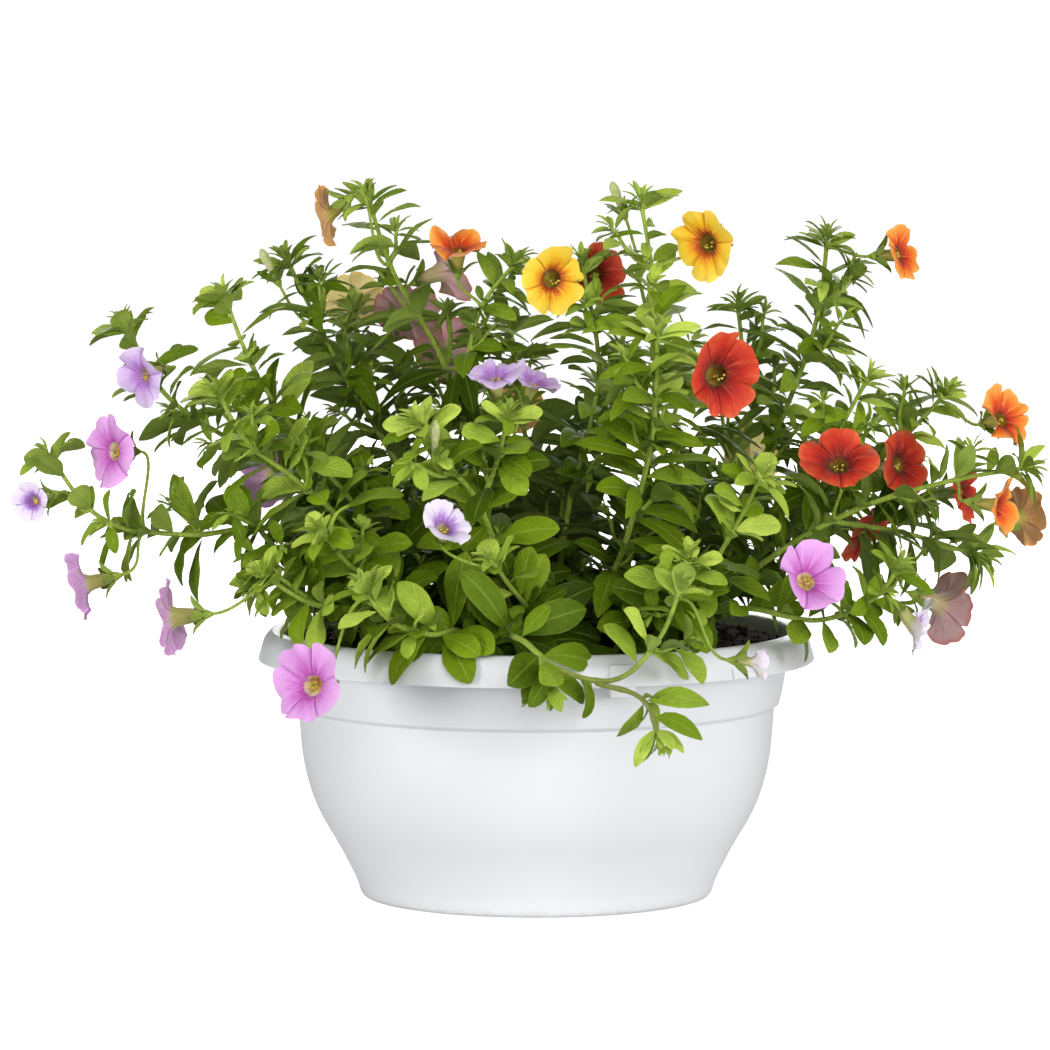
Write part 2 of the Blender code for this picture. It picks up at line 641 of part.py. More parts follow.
def hang(clearing, growths, shoots, top, direction, petals, after=None):
    """Grows a flower's stalk from the best stem that reaches it without touching anything."""
    petal_tree = BVHTree.FromPolygons(petals.points, fanned(petals.faces)) if petals else None
    for shoot, station in nearest_stations(shoots, top, direction):
        growth = growths[shoot.name]
        gap = top - shoot.out(station, 0)[0]
        face = shoot.best_face(station, gap)
        if face is None:
            continue
        attempt = Attempt(growth)
        flat = flower_stalk(growth, shoot, station, face, top, direction)
        if after:
            after(growth, flat)
        points, faces = attempt.added()
        free = not clearing.hits(points, faces, shoot.name)
        if petal_tree:
            free = free and not BVHTree.FromPolygons(points, fanned(faces)).overlap(petal_tree)
        if free and not crosses_itself(growth, len(attempt.faces) - 1):
            shoot.taken[station, face] = True
            clearing.add(points, faces, shoot.name)
            return True
        attempt.undo()
    return False


def grow_stems(clearing, growths):
    """Every stem and side shoot, each bent clear of those before it."""
    shoots = []
    for number, (name, start, passes, leaf, kind, green) in enumerate(STEMS):
        from_soil = isinstance(start, tuple)
        if from_soil:
            growths[name] = Growth()
            x, y = start
            knots = [(x, y, SOIL_TOP - HOLE_DEPTH + HOLE_GAP), (x, y, SOIL_TOP + STEM_RISE), *passes]
            root, opening = STEM_ROOT, None
        else:
            parent = next(shoot for shoot in shoots if shoot.name == name)
            station = round(start * (len(parent.distances) - 1))
            towards = Vector(passes[0]) - parent.out(station, 0)[0]
            face = parent.best_face(station, towards)
            knots = [parent.out(station, face)[0], *passes]
            root, opening = SHOOT_ROOT, parent.faces[station, face]
            parent.taken[station, face] = True
        firm = 2 if from_soil else 1
        growth = growths[name]
        for bend in STEM_TRIES:
            bent = [Vector(knot) + (bend if k >= firm else Vector()) for k, knot in enumerate(knots)]
            shoot = Shoot(number, name, bent, leaf, kind, green, root, from_soil)
            skin = shoot.skin()
            attempt = Attempt(growth)
            shoot.faces = shoot.tube(growth, growth.take(opening) if opening else None)
            points, faces = attempt.added(1 if opening else 0)
            free = not clearing.hits(skin.points, skin.faces) and not clearing.hits(points, faces, name)
            if free and not crosses_itself(growth, len(attempt.faces) - (1 if opening else 0)):
                break
            attempt.undo()
        else:
            print("no clear way for", name, number)
            continue
        clearing.add(skin.points, skin.faces, name)
        clearing.add(points, faces, name)
        shoots.append(shoot)
    return shoots


def leaf_plan(shoot, station, face):
    """Length, pitch and turn of the leaf on one face of a station, before it gives way to others."""
    draws = random.Random(shoot.number * 1000 + station * 10 + face)
    last = len(shoot.distances) - 1
    share = station / last
    length = shoot.leaf * (LENGTH_LOW - LENGTH_LOSS * share) * draws.uniform(*LENGTH_RANGE)
    pitch = PITCH_LOW - PITCH_LOSS * share + draws.uniform(-PITCH_PLAY, PITCH_PLAY)
    if station == last:
        length = shoot.leaf * draws.uniform(*TIP_RANGE)
        pitch = TIP_PITCH + draws.uniform(-TIP_PITCH_PLAY, TIP_PITCH_PLAY)
    elif station == last - 1:
        length = shoot.leaf * draws.uniform(*NEXT_RANGE)
    return length, pitch, draws.uniform(-TURN_PLAY, TURN_PLAY)


def leaf_faces(shoot, station):
    """The faces of a station that bear leaves: all round at the tip, two or three further down."""
    last = len(shoot.distances) - 1
    wanted = (0, 1, 2, 3) if station == last else (0, 1, 2) if station % 2 else (0, 2)
    return [face for face in wanted if (station, face) not in shoot.taken]


def grow_leaves(clearing, growths, shoots):
    """Each leaf in the first of its tries that touches nothing. Where none fits there is no leaf."""
    count = 0
    grown = Clearing()
    for shoot in sorted(shoots, key=lambda shoot: shoot.number):
        growth = growths[shoot.name]
        for station in range(len(shoot.distances)):
            for face in leaf_faces(shoot, station):
                length, pitch, turn = leaf_plan(shoot, station, face)
                root, way, out = shoot.out(station, face)
                for more_pitch, more_turn, size in LEAF_TRIES:
                    leaning = pitch + more_pitch, turn + more_turn
                    leaf = Leaf(root, way, out, length * size, shoot.kind, *leaning)
                    skin = leaf.envelope()
                    if clearing.hits(skin.points, skin.faces):
                        continue
                    if grown.hits(skin.points, skin.faces, shoot.name):
                        continue
                    attempt = Attempt(growth)
                    leaf.grow(growth, growth.take(shoot.faces[station, face]))
                    added = attempt.added()
                    touches = clearing.hits(*added, shoot.name) or grown.hits(*added, shoot.name)
                    if not touches and not crosses_itself(growth, len(attempt.faces) - 1):
                        clearing.add(skin.points, skin.faces)
                        grown.add(*added, shoot.name)
                        count += 1
                        break
                    attempt.undo()
    return count


def grow_flowers(clearing, growths, shoots):
    """Every bloom on its stalk, and the closed buds."""
    blooms = []
    for number, row in enumerate(BLOOMS):
        for shift in BLOOM_TRIES:
            bloom = Bloom(number, *row, shift)
            petals = bloom.corolla()
            if clearing.hits(petals.points, petals.faces):
                continue
            if hang(clearing, growths, shoots, bloom.base - bloom.way * CALYX_GAP, bloom.way, petals):
                clearing.add(petals.points, petals.faces)
                blooms.append((bloom, petals))
                break
        else:
            print("no place for", row[0])
    for middle, turn, rise, length in BUDS:
        way = facing(turn, rise)
        base = Vector(middle) - way * length / 2

        def close(growth, flat, base=base, way=way, length=length):
            bud(growth, flat, base, way, length)

        if not hang(clearing, growths, shoots, base, way, None, close):
            print("no place for the bud at", middle)
    return blooms


def turned(outline, sides):
    """Points and faces of an outline of (radius, height) turned about the axis, from the foot's middle on."""
    points, faces = [Vector((0, 0, outline[0][1]))], []
    for radius, height in outline:
        for k in range(sides):
            angle = 2 * math.pi * k / sides
            points.append(Vector((radius * math.cos(angle), radius * math.sin(angle), height)))
    points.append(Vector((0, 0, outline[-1][1])))
    for k in range(sides):
        after = (k + 1) % sides
        faces.append((0, 1 + after, 1 + k))
        for ring in range(len(outline) - 1):
            low, high = 1 + ring * sides, 1 + (ring + 1) * sides
            faces.append((low + k, low + after, high + after, high + k))
        top = 1 + (len(outline) - 1) * sides
        faces.append((top + k, top + after, len(points) - 1))
    return points, faces


def pot_wall_at(height):
    """The radius of the pot's inner wall at a height."""
    inside = sorted((z, r) for r, z in POT_INSIDE)
    for (low, low_radius), (high, high_radius) in zip(inside, inside[1:]):
        if low <= height <= high:
            return low_radius + (high_radius - low_radius) * (height - low) / (high - low)
    return inside[0][1]


def soil_shape():
    """The soil fills the pot up to its uneven top."""
    inside = sorted((z, r) for r, z in POT_INSIDE)
    outline = [(radius - SOIL_GAP, height + (SOIL_GAP if height == inside[0][0] else 0))
               for height, radius in inside if height < SOIL_TOP]
    outline.append((pot_wall_at(SOIL_TOP) - SOIL_GAP, SOIL_TOP))
    outline += [(radius, SOIL_TOP) for radius in SOIL_RINGS]
    points, faces = turned(outline, POT_SIDES)
    for point in points:
        if point.z == SOIL_TOP and point.xy.length < SOIL_RINGS[0] + 1:
            point.z += SOIL_SWELL * noise.noise(point / SOIL_SWELL_SIZE)
    return points, faces


def new_object(name, points, faces, colour, roughness):
    mesh = bpy.data.meshes.new(name)
    mesh.from_pydata([tuple(point * MM) for point in points], [], faces)
    mesh.validate()
    item = bpy.data.objects.new(name, mesh)
    bpy.context.scene.collection.objects.link(item)
    material = bpy.data.materials.new(name)
    material.use_nodes = True
    shader = material.node_tree.nodes["Principled BSDF"]
    shader.inputs["Base Color"].default_value = (*colour, 1)
    shader.inputs["Roughness"].default_value = roughness
    mesh.materials.append(material)
    return item


def boolean(item, cutter, operation):
    modifier = item.modifiers.new(operation.title(), "BOOLEAN")
    modifier.operation, modifier.object = operation, cutter
    cutter.hide_render = True
    cutter.display_type = "WIRE"


def make_pot():
    points, faces = turned(POT_OUTSIDE + POT_INSIDE, POT_SIDES)
    pot = new_object("pot", points, faces, POT_WHITE, 0.3)
    pot.data.shade_smooth()
    pot.data.set_sharp_from_angle(angle=math.radians(35))
    angle = math.radians(LUG_ANGLE)
    bpy.ops.mesh.primitive_cube_add(
        size=1, rotation=(0, 0, angle), scale=(LUG_DEPTH * MM, LUG_WIDTH * MM, LUG_HEIGHT * MM),
        location=Vector((LUG_RADIUS * math.cos(angle), LUG_RADIUS * math.sin(angle), LUG_MIDDLE)) * MM,
    )
    lug = bpy.context.active_object
    lug.name = "lug_guide"
    boolean(pot, lug, "UNION")
    return points, faces


def make_soil():
    points, faces = soil_shape()
    soil = new_object("soil", points, faces, SOIL_BROWN, 0.95)
    holes = bmesh.new()
    for name, start, *_ in STEMS:
        if not isinstance(start, tuple):
            continue
        made = bmesh.ops.create_cone(
            holes, cap_ends=True, segments=HOLE_SIDES, radius1=(STEM_ROOT + HOLE_PLAY) * MM,
            radius2=(STEM_ROOT + HOLE_PLAY) * MM, depth=2 * HOLE_DEPTH * MM,
        )
        bmesh.ops.translate(holes, verts=made["verts"], vec=Vector((*start, SOIL_TOP)) * MM)
    mesh = bpy.data.meshes.new("soil_holes")
    holes.to_mesh(mesh)
    holes.free()
    cutter = bpy.data.objects.new("soil_holes", mesh)
    bpy.context.scene.collection.objects.link(cutter)
    boolean(soil, cutter, "DIFFERENCE")
    return points, faces


def main():
    for item in list(bpy.data.objects):
        bpy.data.objects.remove(item)
    clearing, growths = Clearing(), {}
    clearing.add(*make_pot())
    shoots = grow_stems(clearing, growths)
    clearing.add(*make_soil())
    blooms = grow_flowers(clearing, growths, shoots)
    leaves = grow_leaves(clearing, growths, shoots)
    greens = {shoot.name: shoot.green for shoot in reversed(shoots)}
    for name, growth in growths.items():
        new_object("stem_" + name, growth.points, fanned(growth.faces), greens[name], 0.55)
    for bloom, petals in blooms:
        new_object(bloom.name, petals.points, fanned(petals.faces), bloom.colour, 0.6)
    print(len(growths), "stems,", len(blooms), "blooms,", leaves, "leaves")


main()
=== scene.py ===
import itertools
import math
import random

import bpy
import numpy as np
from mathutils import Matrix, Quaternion, Vector, noise
from mathutils.bvhtree import BVHTree
from mathutils.kdtree import KDTree


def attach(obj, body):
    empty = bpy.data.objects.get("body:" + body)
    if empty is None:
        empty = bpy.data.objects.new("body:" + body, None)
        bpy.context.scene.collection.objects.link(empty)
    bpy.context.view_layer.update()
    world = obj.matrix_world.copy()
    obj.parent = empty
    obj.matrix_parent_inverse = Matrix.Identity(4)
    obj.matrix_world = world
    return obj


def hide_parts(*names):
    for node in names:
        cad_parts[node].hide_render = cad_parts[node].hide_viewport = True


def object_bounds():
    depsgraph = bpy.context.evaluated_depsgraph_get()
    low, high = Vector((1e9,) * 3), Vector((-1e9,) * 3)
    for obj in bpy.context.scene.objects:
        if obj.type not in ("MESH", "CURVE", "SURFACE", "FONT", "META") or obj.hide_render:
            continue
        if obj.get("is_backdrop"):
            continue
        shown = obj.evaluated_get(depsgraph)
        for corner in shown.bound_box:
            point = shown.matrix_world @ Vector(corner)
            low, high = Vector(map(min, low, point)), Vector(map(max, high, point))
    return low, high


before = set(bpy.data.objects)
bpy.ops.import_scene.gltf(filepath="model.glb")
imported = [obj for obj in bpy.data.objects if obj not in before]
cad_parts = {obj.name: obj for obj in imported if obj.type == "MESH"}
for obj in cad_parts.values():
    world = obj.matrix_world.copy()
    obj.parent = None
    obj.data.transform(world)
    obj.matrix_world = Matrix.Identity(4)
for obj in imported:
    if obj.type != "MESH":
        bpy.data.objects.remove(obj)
cad_low, cad_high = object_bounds()

# Pot: one injection-moulded bowl of white polypropylene. Its foot is narrow, a shallow band runs
# under the rim, and the rim turns down outside to a skirt. A small pull-tab lug is moulded on it.
MM = 0.001
POT_TURNS = 176
POT_OUTSIDE = (  # (radius, height, rounding) from the foot up
    (0, 0.9, 0), (70, 0.9, 2), (73, 0, 1), (77.5, 0, 1.2), (79, 1.5, 1.5), (81, 7.7, 6), (88.2, 22.2, 9),
    (99, 39.8, 16), (105, 60, 20), (107, 85.4, 0.5), (109.2, 86.9, 0.6), (112, 99.5, 6), (113, 114.5, 1.5),
    (117.5, 115, 2), (122.4, 106.5, 0.5), (125, 106.5, 0.8), (122.2, 116.4, 3.5), (118.6, 120, 2.5), (115.2, 120, 1.2),
)
POT_INSIDE = (
    (113.4, 118, 1.2), (109.4, 99.5, 6), (104.4, 84, 6), (102, 60, 16), (85.6, 24.4, 14), (77, 5, 4), (0, 5, 0),
)
LUG_WIDTH, LUG_DEPTH, LUG_HEIGHT, LUG_BEVEL = 12, 5, 15, 1.1
LUG_ANGLE, LUG_RADIUS, LUG_MIDDLE = -72.5, 121.5, 109
SLIT_WIDTH, SLIT_DEPTH, SLIT_RADIUS, SLIT_TOP, SLIT_BEVEL = 0.8, 6, 126, 119, 0.2
SLITS = ((LUG_ANGLE - 3.15, 101), (-46.5, 106))  # (angle, lower end)


def rounded(outline, steps=4):
    """The outline with each corner cut to an arc, as far back along its sides as the rounding says."""
    corners = [Vector((radius, height)) for radius, height, _ in outline]
    points = [corners[0]]
    for before, corner, after, (_, _, rounding) in zip(corners, corners[1:], corners[2:], outline[1:]):
        cut = min(rounding, (corner - before).length * 0.48, (after - corner).length * 0.48)
        start = corner + (before - corner).normalized() * cut
        end = corner + (after - corner).normalized() * cut
        for step in range(steps + 1 if cut else 1):
            t = step / steps
            points.append(start * (1 - t) ** 2 + corner * 2 * t * (1 - t) + end * t * t if cut else corner)
    return points + [corners[-1]]


def added(kind, **shape):
    """Adds one of Blender's own meshes, which is then selected alone."""
    bpy.ops.object.select_all(action="DESELECT")
    getattr(bpy.ops.mesh, f"primitive_{kind}_add")(**shape)
    return bpy.context.active_object


def pick(*items):
    """Selects these objects alone, with the first as the active one."""
    bpy.ops.object.select_all(action="DESELECT")
    for item in items:
        item.select_set(True)
    bpy.context.view_layer.objects.active = items[0]


def spun(name, outline, steps):
    """Draws the outline by extruding one point, spins it about the axis, and closes its seam and poles."""
    item = added("plane", size=MM)
    item.name = item.data.name = name
    bpy.ops.object.mode_set(mode="EDIT")
    bpy.ops.mesh.merge(type="CENTER")
    places = [Vector((point.x, 0, point.y)) * MM for point in outline]
    bpy.ops.transform.translate(value=places[0])
    for here, there in zip(places, places[1:]):
        bpy.ops.mesh.extrude_region_move(TRANSFORM_OT_translate={"value": there - here})
    bpy.ops.mesh.select_all(action="SELECT")
    bpy.ops.mesh.spin(steps=steps, angle=math.tau, center=(0, 0, 0), axis=(0, 0, 1))
    bpy.ops.mesh.select_all(action="SELECT")
    bpy.ops.mesh.remove_doubles(threshold=0.00001)
    bpy.ops.mesh.normals_make_consistent(inside=False)
    bpy.ops.object.mode_set(mode="OBJECT")
    return item


def cut_or_join(item, other, operation):
    """Joins another solid to the item, or cuts it out, and removes the other."""
    modifier = item.modifiers.new(operation.title(), "BOOLEAN")
    modifier.operation, modifier.object, modifier.solver = operation, other, "EXACT"
    with bpy.context.temp_override(object=item, active_object=item):
        bpy.ops.object.modifier_apply(modifier=modifier.name)
    bpy.data.objects.remove(other)


def block(width, depth, height, angle, radius, middle, bevel):
    """A bevelled block that stands at an angle and radius round the pot."""
    item = added("cube", size=1)
    item.scale = Vector((depth, width, height)) * MM
    angle = math.radians(angle)
    item.rotation_euler = (0, 0, angle)
    item.location = Vector((radius * math.cos(angle), radius * math.sin(angle), middle)) * MM
    bpy.ops.object.transform_apply(location=True, rotation=True, scale=True)
    bpy.ops.object.mode_set(mode="EDIT")
    bpy.ops.mesh.select_all(action="SELECT")
    bpy.ops.mesh.bevel(offset=bevel * MM, segments=3, affect="EDGES")
    bpy.ops.object.mode_set(mode="OBJECT")
    return item


class Value:
    """A shader value. Reckoning with it adds nodes to its tree."""

    def __init__(self, socket):
        self.socket, self.tree = socket, socket.id_data

    def math(self, operation, *others):
        return new_node(self.tree, "Math", enumerate((self, *others)), operation=operation)

    def __add__(self, other):
        return self.math("ADD", other)

    def __sub__(self, other):
        return self.math("SUBTRACT", other)

    def __mul__(self, other):
        return self.math("MULTIPLY", other)

    def parts(self):
        """The X, Y and Z of a vector."""
        return [Value(part) for part in new_node(self.tree, "SeparateXYZ", {0: self}).socket.node.outputs]

    def spread(self, low, high, to_low=0.0, to_high=1.0):
        """Its range from low to high, eased and stretched to another range."""
        inputs = enumerate((self, low, high, to_low, to_high))
        return new_node(self.tree, "MapRange", inputs, interpolation_type="SMOOTHSTEP")

    def speckle(self, size, detail, roughness=0.55):
        """Cloudy noise from 0 to 1 over these coordinates, with blotches of about the size in millimetres."""
        inputs = {"Vector": self, "Scale": 1000 / size, "Detail": detail, "Roughness": roughness}
        return new_node(self.tree, "TexNoise", inputs, "Fac")


def new_node(tree, kind, inputs=(), output=0, **settings):
    """Adds a shader node and gives one of its outputs. Its inputs are plain, or values that feed them."""
    node = tree.nodes.new("ShaderNode" + kind)
    for name, setting in settings.items():
        setattr(node, name, setting)
    for socket, value in dict(inputs).items():
        if isinstance(value, Value):
            tree.links.new(value.socket, node.inputs[socket])
        else:
            node.inputs[socket].default_value = value
    return Value(node.outputs[output])


def mixed(share, low, high):
    """One colour turning into another as the share goes from 0 to 1."""
    tree = next(value.tree for value in (share, low, high) if isinstance(value, Value))
    low, high = (value if isinstance(value, Value) else (*value, 1) for value in (low, high))
    return new_node(tree, "Mix", {0: share, 6: low, 7: high}, 2, data_type="RGBA")


def give(sockets, **values):
    """Feeds the sockets that are named, with _ for a space."""
    for name, value in values.items():
        value.tree.links.new(value.socket, sockets[name.replace("_", " ")])


def finish_of(name, **fixed):
    """A new material, its shader, and the Object coordinates."""
    material = bpy.data.materials.new(name)
    material.use_nodes = True
    shader = material.node_tree.nodes["Principled BSDF"]
    for socket, value in fixed.items():
        shader.inputs[socket.replace("_", " ")].default_value = value
    return material, shader, new_node(material.node_tree, "TexCoord", (), "Object")


def dress(shader, colour, roughness, height, depth, strength=1.0):
    """Feeds the shader, and raises its surface by the height, up to the depth in millimetres."""
    bump = new_node(shader.id_data, "Bump", {"Height": height, "Distance": depth * MM, "Strength": strength})
    give(shader.inputs, Base_Color=colour, Roughness=roughness, Normal=bump)


pot = spun("pot_shell", rounded(POT_OUTSIDE + POT_INSIDE), POT_TURNS)
lug = block(LUG_WIDTH, LUG_DEPTH, LUG_HEIGHT, LUG_ANGLE, LUG_RADIUS, LUG_MIDDLE, LUG_BEVEL)
cut_or_join(pot, lug, "UNION")
for angle, low in SLITS:
    slit = block(SLIT_WIDTH, SLIT_DEPTH, SLIT_TOP - low, angle, SLIT_RADIUS, (SLIT_TOP + low) / 2, SLIT_BEVEL)
    cut_or_join(pot, slit, "DIFFERENCE")
pick(pot)
bpy.ops.object.shade_smooth_by_angle(angle=math.radians(32))

pot_plastic, shader, place = finish_of("pot_plastic", Coat_Weight=0.18, Coat_Roughness=0.22, IOR=1.49)
white = mixed(place.speckle(60, 2), (0.785, 0.80, 0.83), (0.815, 0.825, 0.85))
low_dust = place.parts()[2].spread(0.006, 0.0) * place.speckle(4, 4).spread(0.35, 0.75, 0.1, 0.5)
white = mixed(low_dust, white, (0.60, 0.57, 0.52))
dress(shader, white, place.speckle(45, 2).spread(0.25, 0.75, 0.30, 0.36), place.speckle(0.8, 2), 0.006)
pot.data.materials.clear()
pot.data.materials.append(pot_plastic)
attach(pot, "root")
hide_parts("pot")

# Potting soil: dark peat filled loosely into the pot, with crumbs, bark fibres and a few pale grains
# of pumice lying on its uneven top. The stems stand in it.
SOIL_TOP, SOIL_RADIUS = 108, 108.6
SOIL_HEAP, SOIL_SWELL, SWELL_SIZE, CLOD_SIZE, GRIT_SIZE = 6.6, 2.0, 26, 7, 1.9
SOIL_SIDE = ((0, 5.6), (76, 5.6), (85, 25), (101.4, 60), (103.8, 84), (108.6, 99.5), (111, 107))
SOIL_RINGS, SOIL_TURNS, SOIL_EDGE = 34, 110, 112
CRUMBS, CRUMB_REACH = 1500, 109


def heap_at(point):
    """How far the soil is heaped up over its plane here, without its clods."""
    return SOIL_HEAP + SOIL_SWELL * noise.noise(point / SWELL_SIZE)


def clods_at(point):
    return noise.fractal(point / CLOD_SIZE, 0.7, 2.1, 4)


soil_line = [Vector(corner) for corner in SOIL_SIDE]
soil_line += [Vector((SOIL_RADIUS * ring / SOIL_RINGS, SOIL_TOP)) for ring in range(SOIL_RINGS, -1, -1)]
soil = spun("soil_bed", soil_line, SOIL_TURNS)
for vertex in soil.data.vertices:
    point = vertex.co / MM
    if point.z > SOIL_TOP - 2:
        edge = min(1, max(0, (SOIL_EDGE - point.xy.length) / 3))
        point.z += (heap_at(point) + 1.5 * clods_at(point) + 0.6 * noise.noise(point / GRIT_SIZE)) * edge
        vertex.co = point * MM


NO_CORNER = -10**9


class Heap:
    """Points and faces of many small shapes that become one mesh, each with its notes and its UV places."""

    def __init__(self):
        self.points, self.faces, self.maps, self.under, self.notes, self.count = [], [], [], [], [], 0

    def add(self, points, faces, maps=None, under=None, note=(0, 0, 0)):
        self.points.append(points)
        self.faces.append(faces + self.count)
        self.count += len(points)
        if maps is not None:
            self.maps.append(maps)
            self.under.append(under)
            self.notes.append(np.tile(np.array(note, np.float32), (len(points), 1)))

    def mesh(self, name):
        """Every face is a row of corners. One that is missing is NO_CORNER, and so below 0 after add too."""
        faces = np.concatenate(self.faces)
        real = faces >= 0
        sizes = real.sum(axis=1)
        mesh = bpy.data.meshes.new(name)
        points = np.concatenate(self.points).astype(np.float32) * MM
        mesh.vertices.add(len(points))
        mesh.vertices.foreach_set("co", points.ravel())
        mesh.loops.add(int(sizes.sum()))
        mesh.loops.foreach_set("vertex_index", faces[real].astype(np.int32))
        mesh.polygons.add(len(faces))
        mesh.polygons.foreach_set("loop_start", np.concatenate([[0], np.cumsum(sizes)[:-1]]).astype(np.int32))
        if self.maps:
            maps, under = (np.concatenate(values).astype(np.float32) for values in (self.maps, self.under))
            mesh.uv_layers.new(name="flat").data.foreach_set("uv", maps.ravel())
            mesh.attributes.new("under", "FLOAT", "FACE").data.foreach_set("value", under)
            notes = mesh.attributes.new("note", "FLOAT_VECTOR", "POINT")
            notes.data.foreach_set("vector", np.concatenate(self.notes).ravel())
        mesh.update()
        mesh.validate()
        item = bpy.data.objects.new(name, mesh)
        bpy.context.scene.collection.objects.link(item)
        return item


def joined(pieces, angle):
    """Joins the pieces to the first one, and shades it smooth up to the angle."""
    pick(*pieces)
    bpy.ops.object.join()
    bpy.ops.object.shade_smooth_by_angle(angle=math.radians(angle))
    return pieces[0]


crumb = added("ico_sphere", subdivisions=1, radius=1)
crumb_points = np.array([vertex.co[:] for vertex in crumb.data.vertices])
crumb_faces = np.array([list(face.vertices) for face in crumb.data.polygons])
bpy.data.objects.remove(crumb)
draws = random.Random(5)
crumbs = Heap()
for k in range(CRUMBS):
    fibre = k % 5 == 0
    reach, turn = CRUMB_REACH * math.sqrt(draws.random()), draws.uniform(0, math.tau)
    size = draws.uniform(0.5, 1.3) if k % 9 else draws.uniform(1.3, 2.7)
    long = draws.uniform(3, 6) if fibre else 1.0
    reach = min(reach, CRUMB_REACH + 0.4 - size * long)
    wide, thick = (0.45, 0.3) if fibre else (draws.uniform(0.7, 1.1), 0.7)
    spin = Quaternion((0, 0, 1), draws.uniform(0, math.tau)) @ Quaternion((0, 1, 0), draws.uniform(-0.4, 0.4))
    rough = np.array([1 + 0.25 * noise.noise(Vector(corner) * 2 + Vector((k, 0, 0))) for corner in crumb_points])
    shape = crumb_points * rough[:, None] * np.array([size * long * 0.8, size * wide, size * thick])
    middle = Vector((reach * math.cos(turn), reach * math.sin(turn), SOIL_TOP))
    lift = heap_at(middle) + 0.9 * clods_at(middle) + size * 0.35
    crumbs.add(shape @ np.array(spin.to_matrix()).T + np.array((middle.x, middle.y, SOIL_TOP + lift)), crumb_faces)
crumbs = crumbs.mesh("soil_crumbs")

peat, shader, place = finish_of("peat", Specular_IOR_Level=0.25)
blotch, crumbling = place.speckle(5, 5, 0.65), place.speckle(1.4, 4, 0.7)
brown = mixed(blotch.spread(0.36, 0.66), (0.010, 0.005, 0.004), (0.058, 0.026, 0.014))
brown = mixed(crumbling.spread(0.62, 0.78, 0, 0.7), brown, (0.12, 0.058, 0.030))
cells = new_node(place.tree, "TexVoronoi", {"Vector": place, "Scale": 260.0}, "Color", feature="F1")
pumice = new_node(place.tree, "SeparateColor", {0: cells}).spread(0.975, 0.985, 0, 0.55)
brown = mixed(pumice, brown, (0.22, 0.19, 0.16))
dress(shader, brown, crumbling.spread(0.2, 0.8, 0.82, 1.0), blotch + crumbling, 1.1)
for item in (soil, crumbs):
    item.data.materials.clear()
    item.data.materials.append(peat)
soil = joined([soil, crumbs], 60)
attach(soil, "root")
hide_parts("soil")

# Leafy stems: each is one grown plant stem with its side shoots, standing in the soil. It carries soft
# hairy leaves, two or more at a joint, that crowd to a bright rosette at every growing tip.
UP = Vector((0, 0, 1))
HOLE_DEPTH, STEM_ROOT, STEM_TIP = 11, 2.3, 1.3
STATION_GAP, STATION_TURN, TIP_LENGTH = 28, 52, 7
BARE_STEM, BARE_SHOOT = 30, 12
LEAF_TRIES = (  # further pitch, further turn, size
    (0, 0, 1), (14, 12, 1), (-12, -14, 1), (24, -20, 1), (-8, 30, 1), (30, 10, 0.86), (-16, -30, 0.86),
    (12, -38, 0.8), (0, 40, 0.8), (34, -10, 0.7), (-14, 12, 0.66), (10, 26, 0.56), (20, -26, 0.5),
)
STEM_TRIES = tuple(
    Vector((reach * math.cos(turn), reach * math.sin(turn), rise))
    for reach, rise in ((0, 0), (4, 0), (7, 3), (10, -3), (13, 4))
    for turn in ((0,) if reach == 0 else [k * math.pi / 3 for k in range(6)])
)
BROAD, SLIM = (0.48, 1.45, 0.58, 0.16), (0.35, 1.05, 0.74, 0.22)  # width, two powers of the outline, arch
BRIGHT, MID, DEEP = "bright", "mid", "deep"
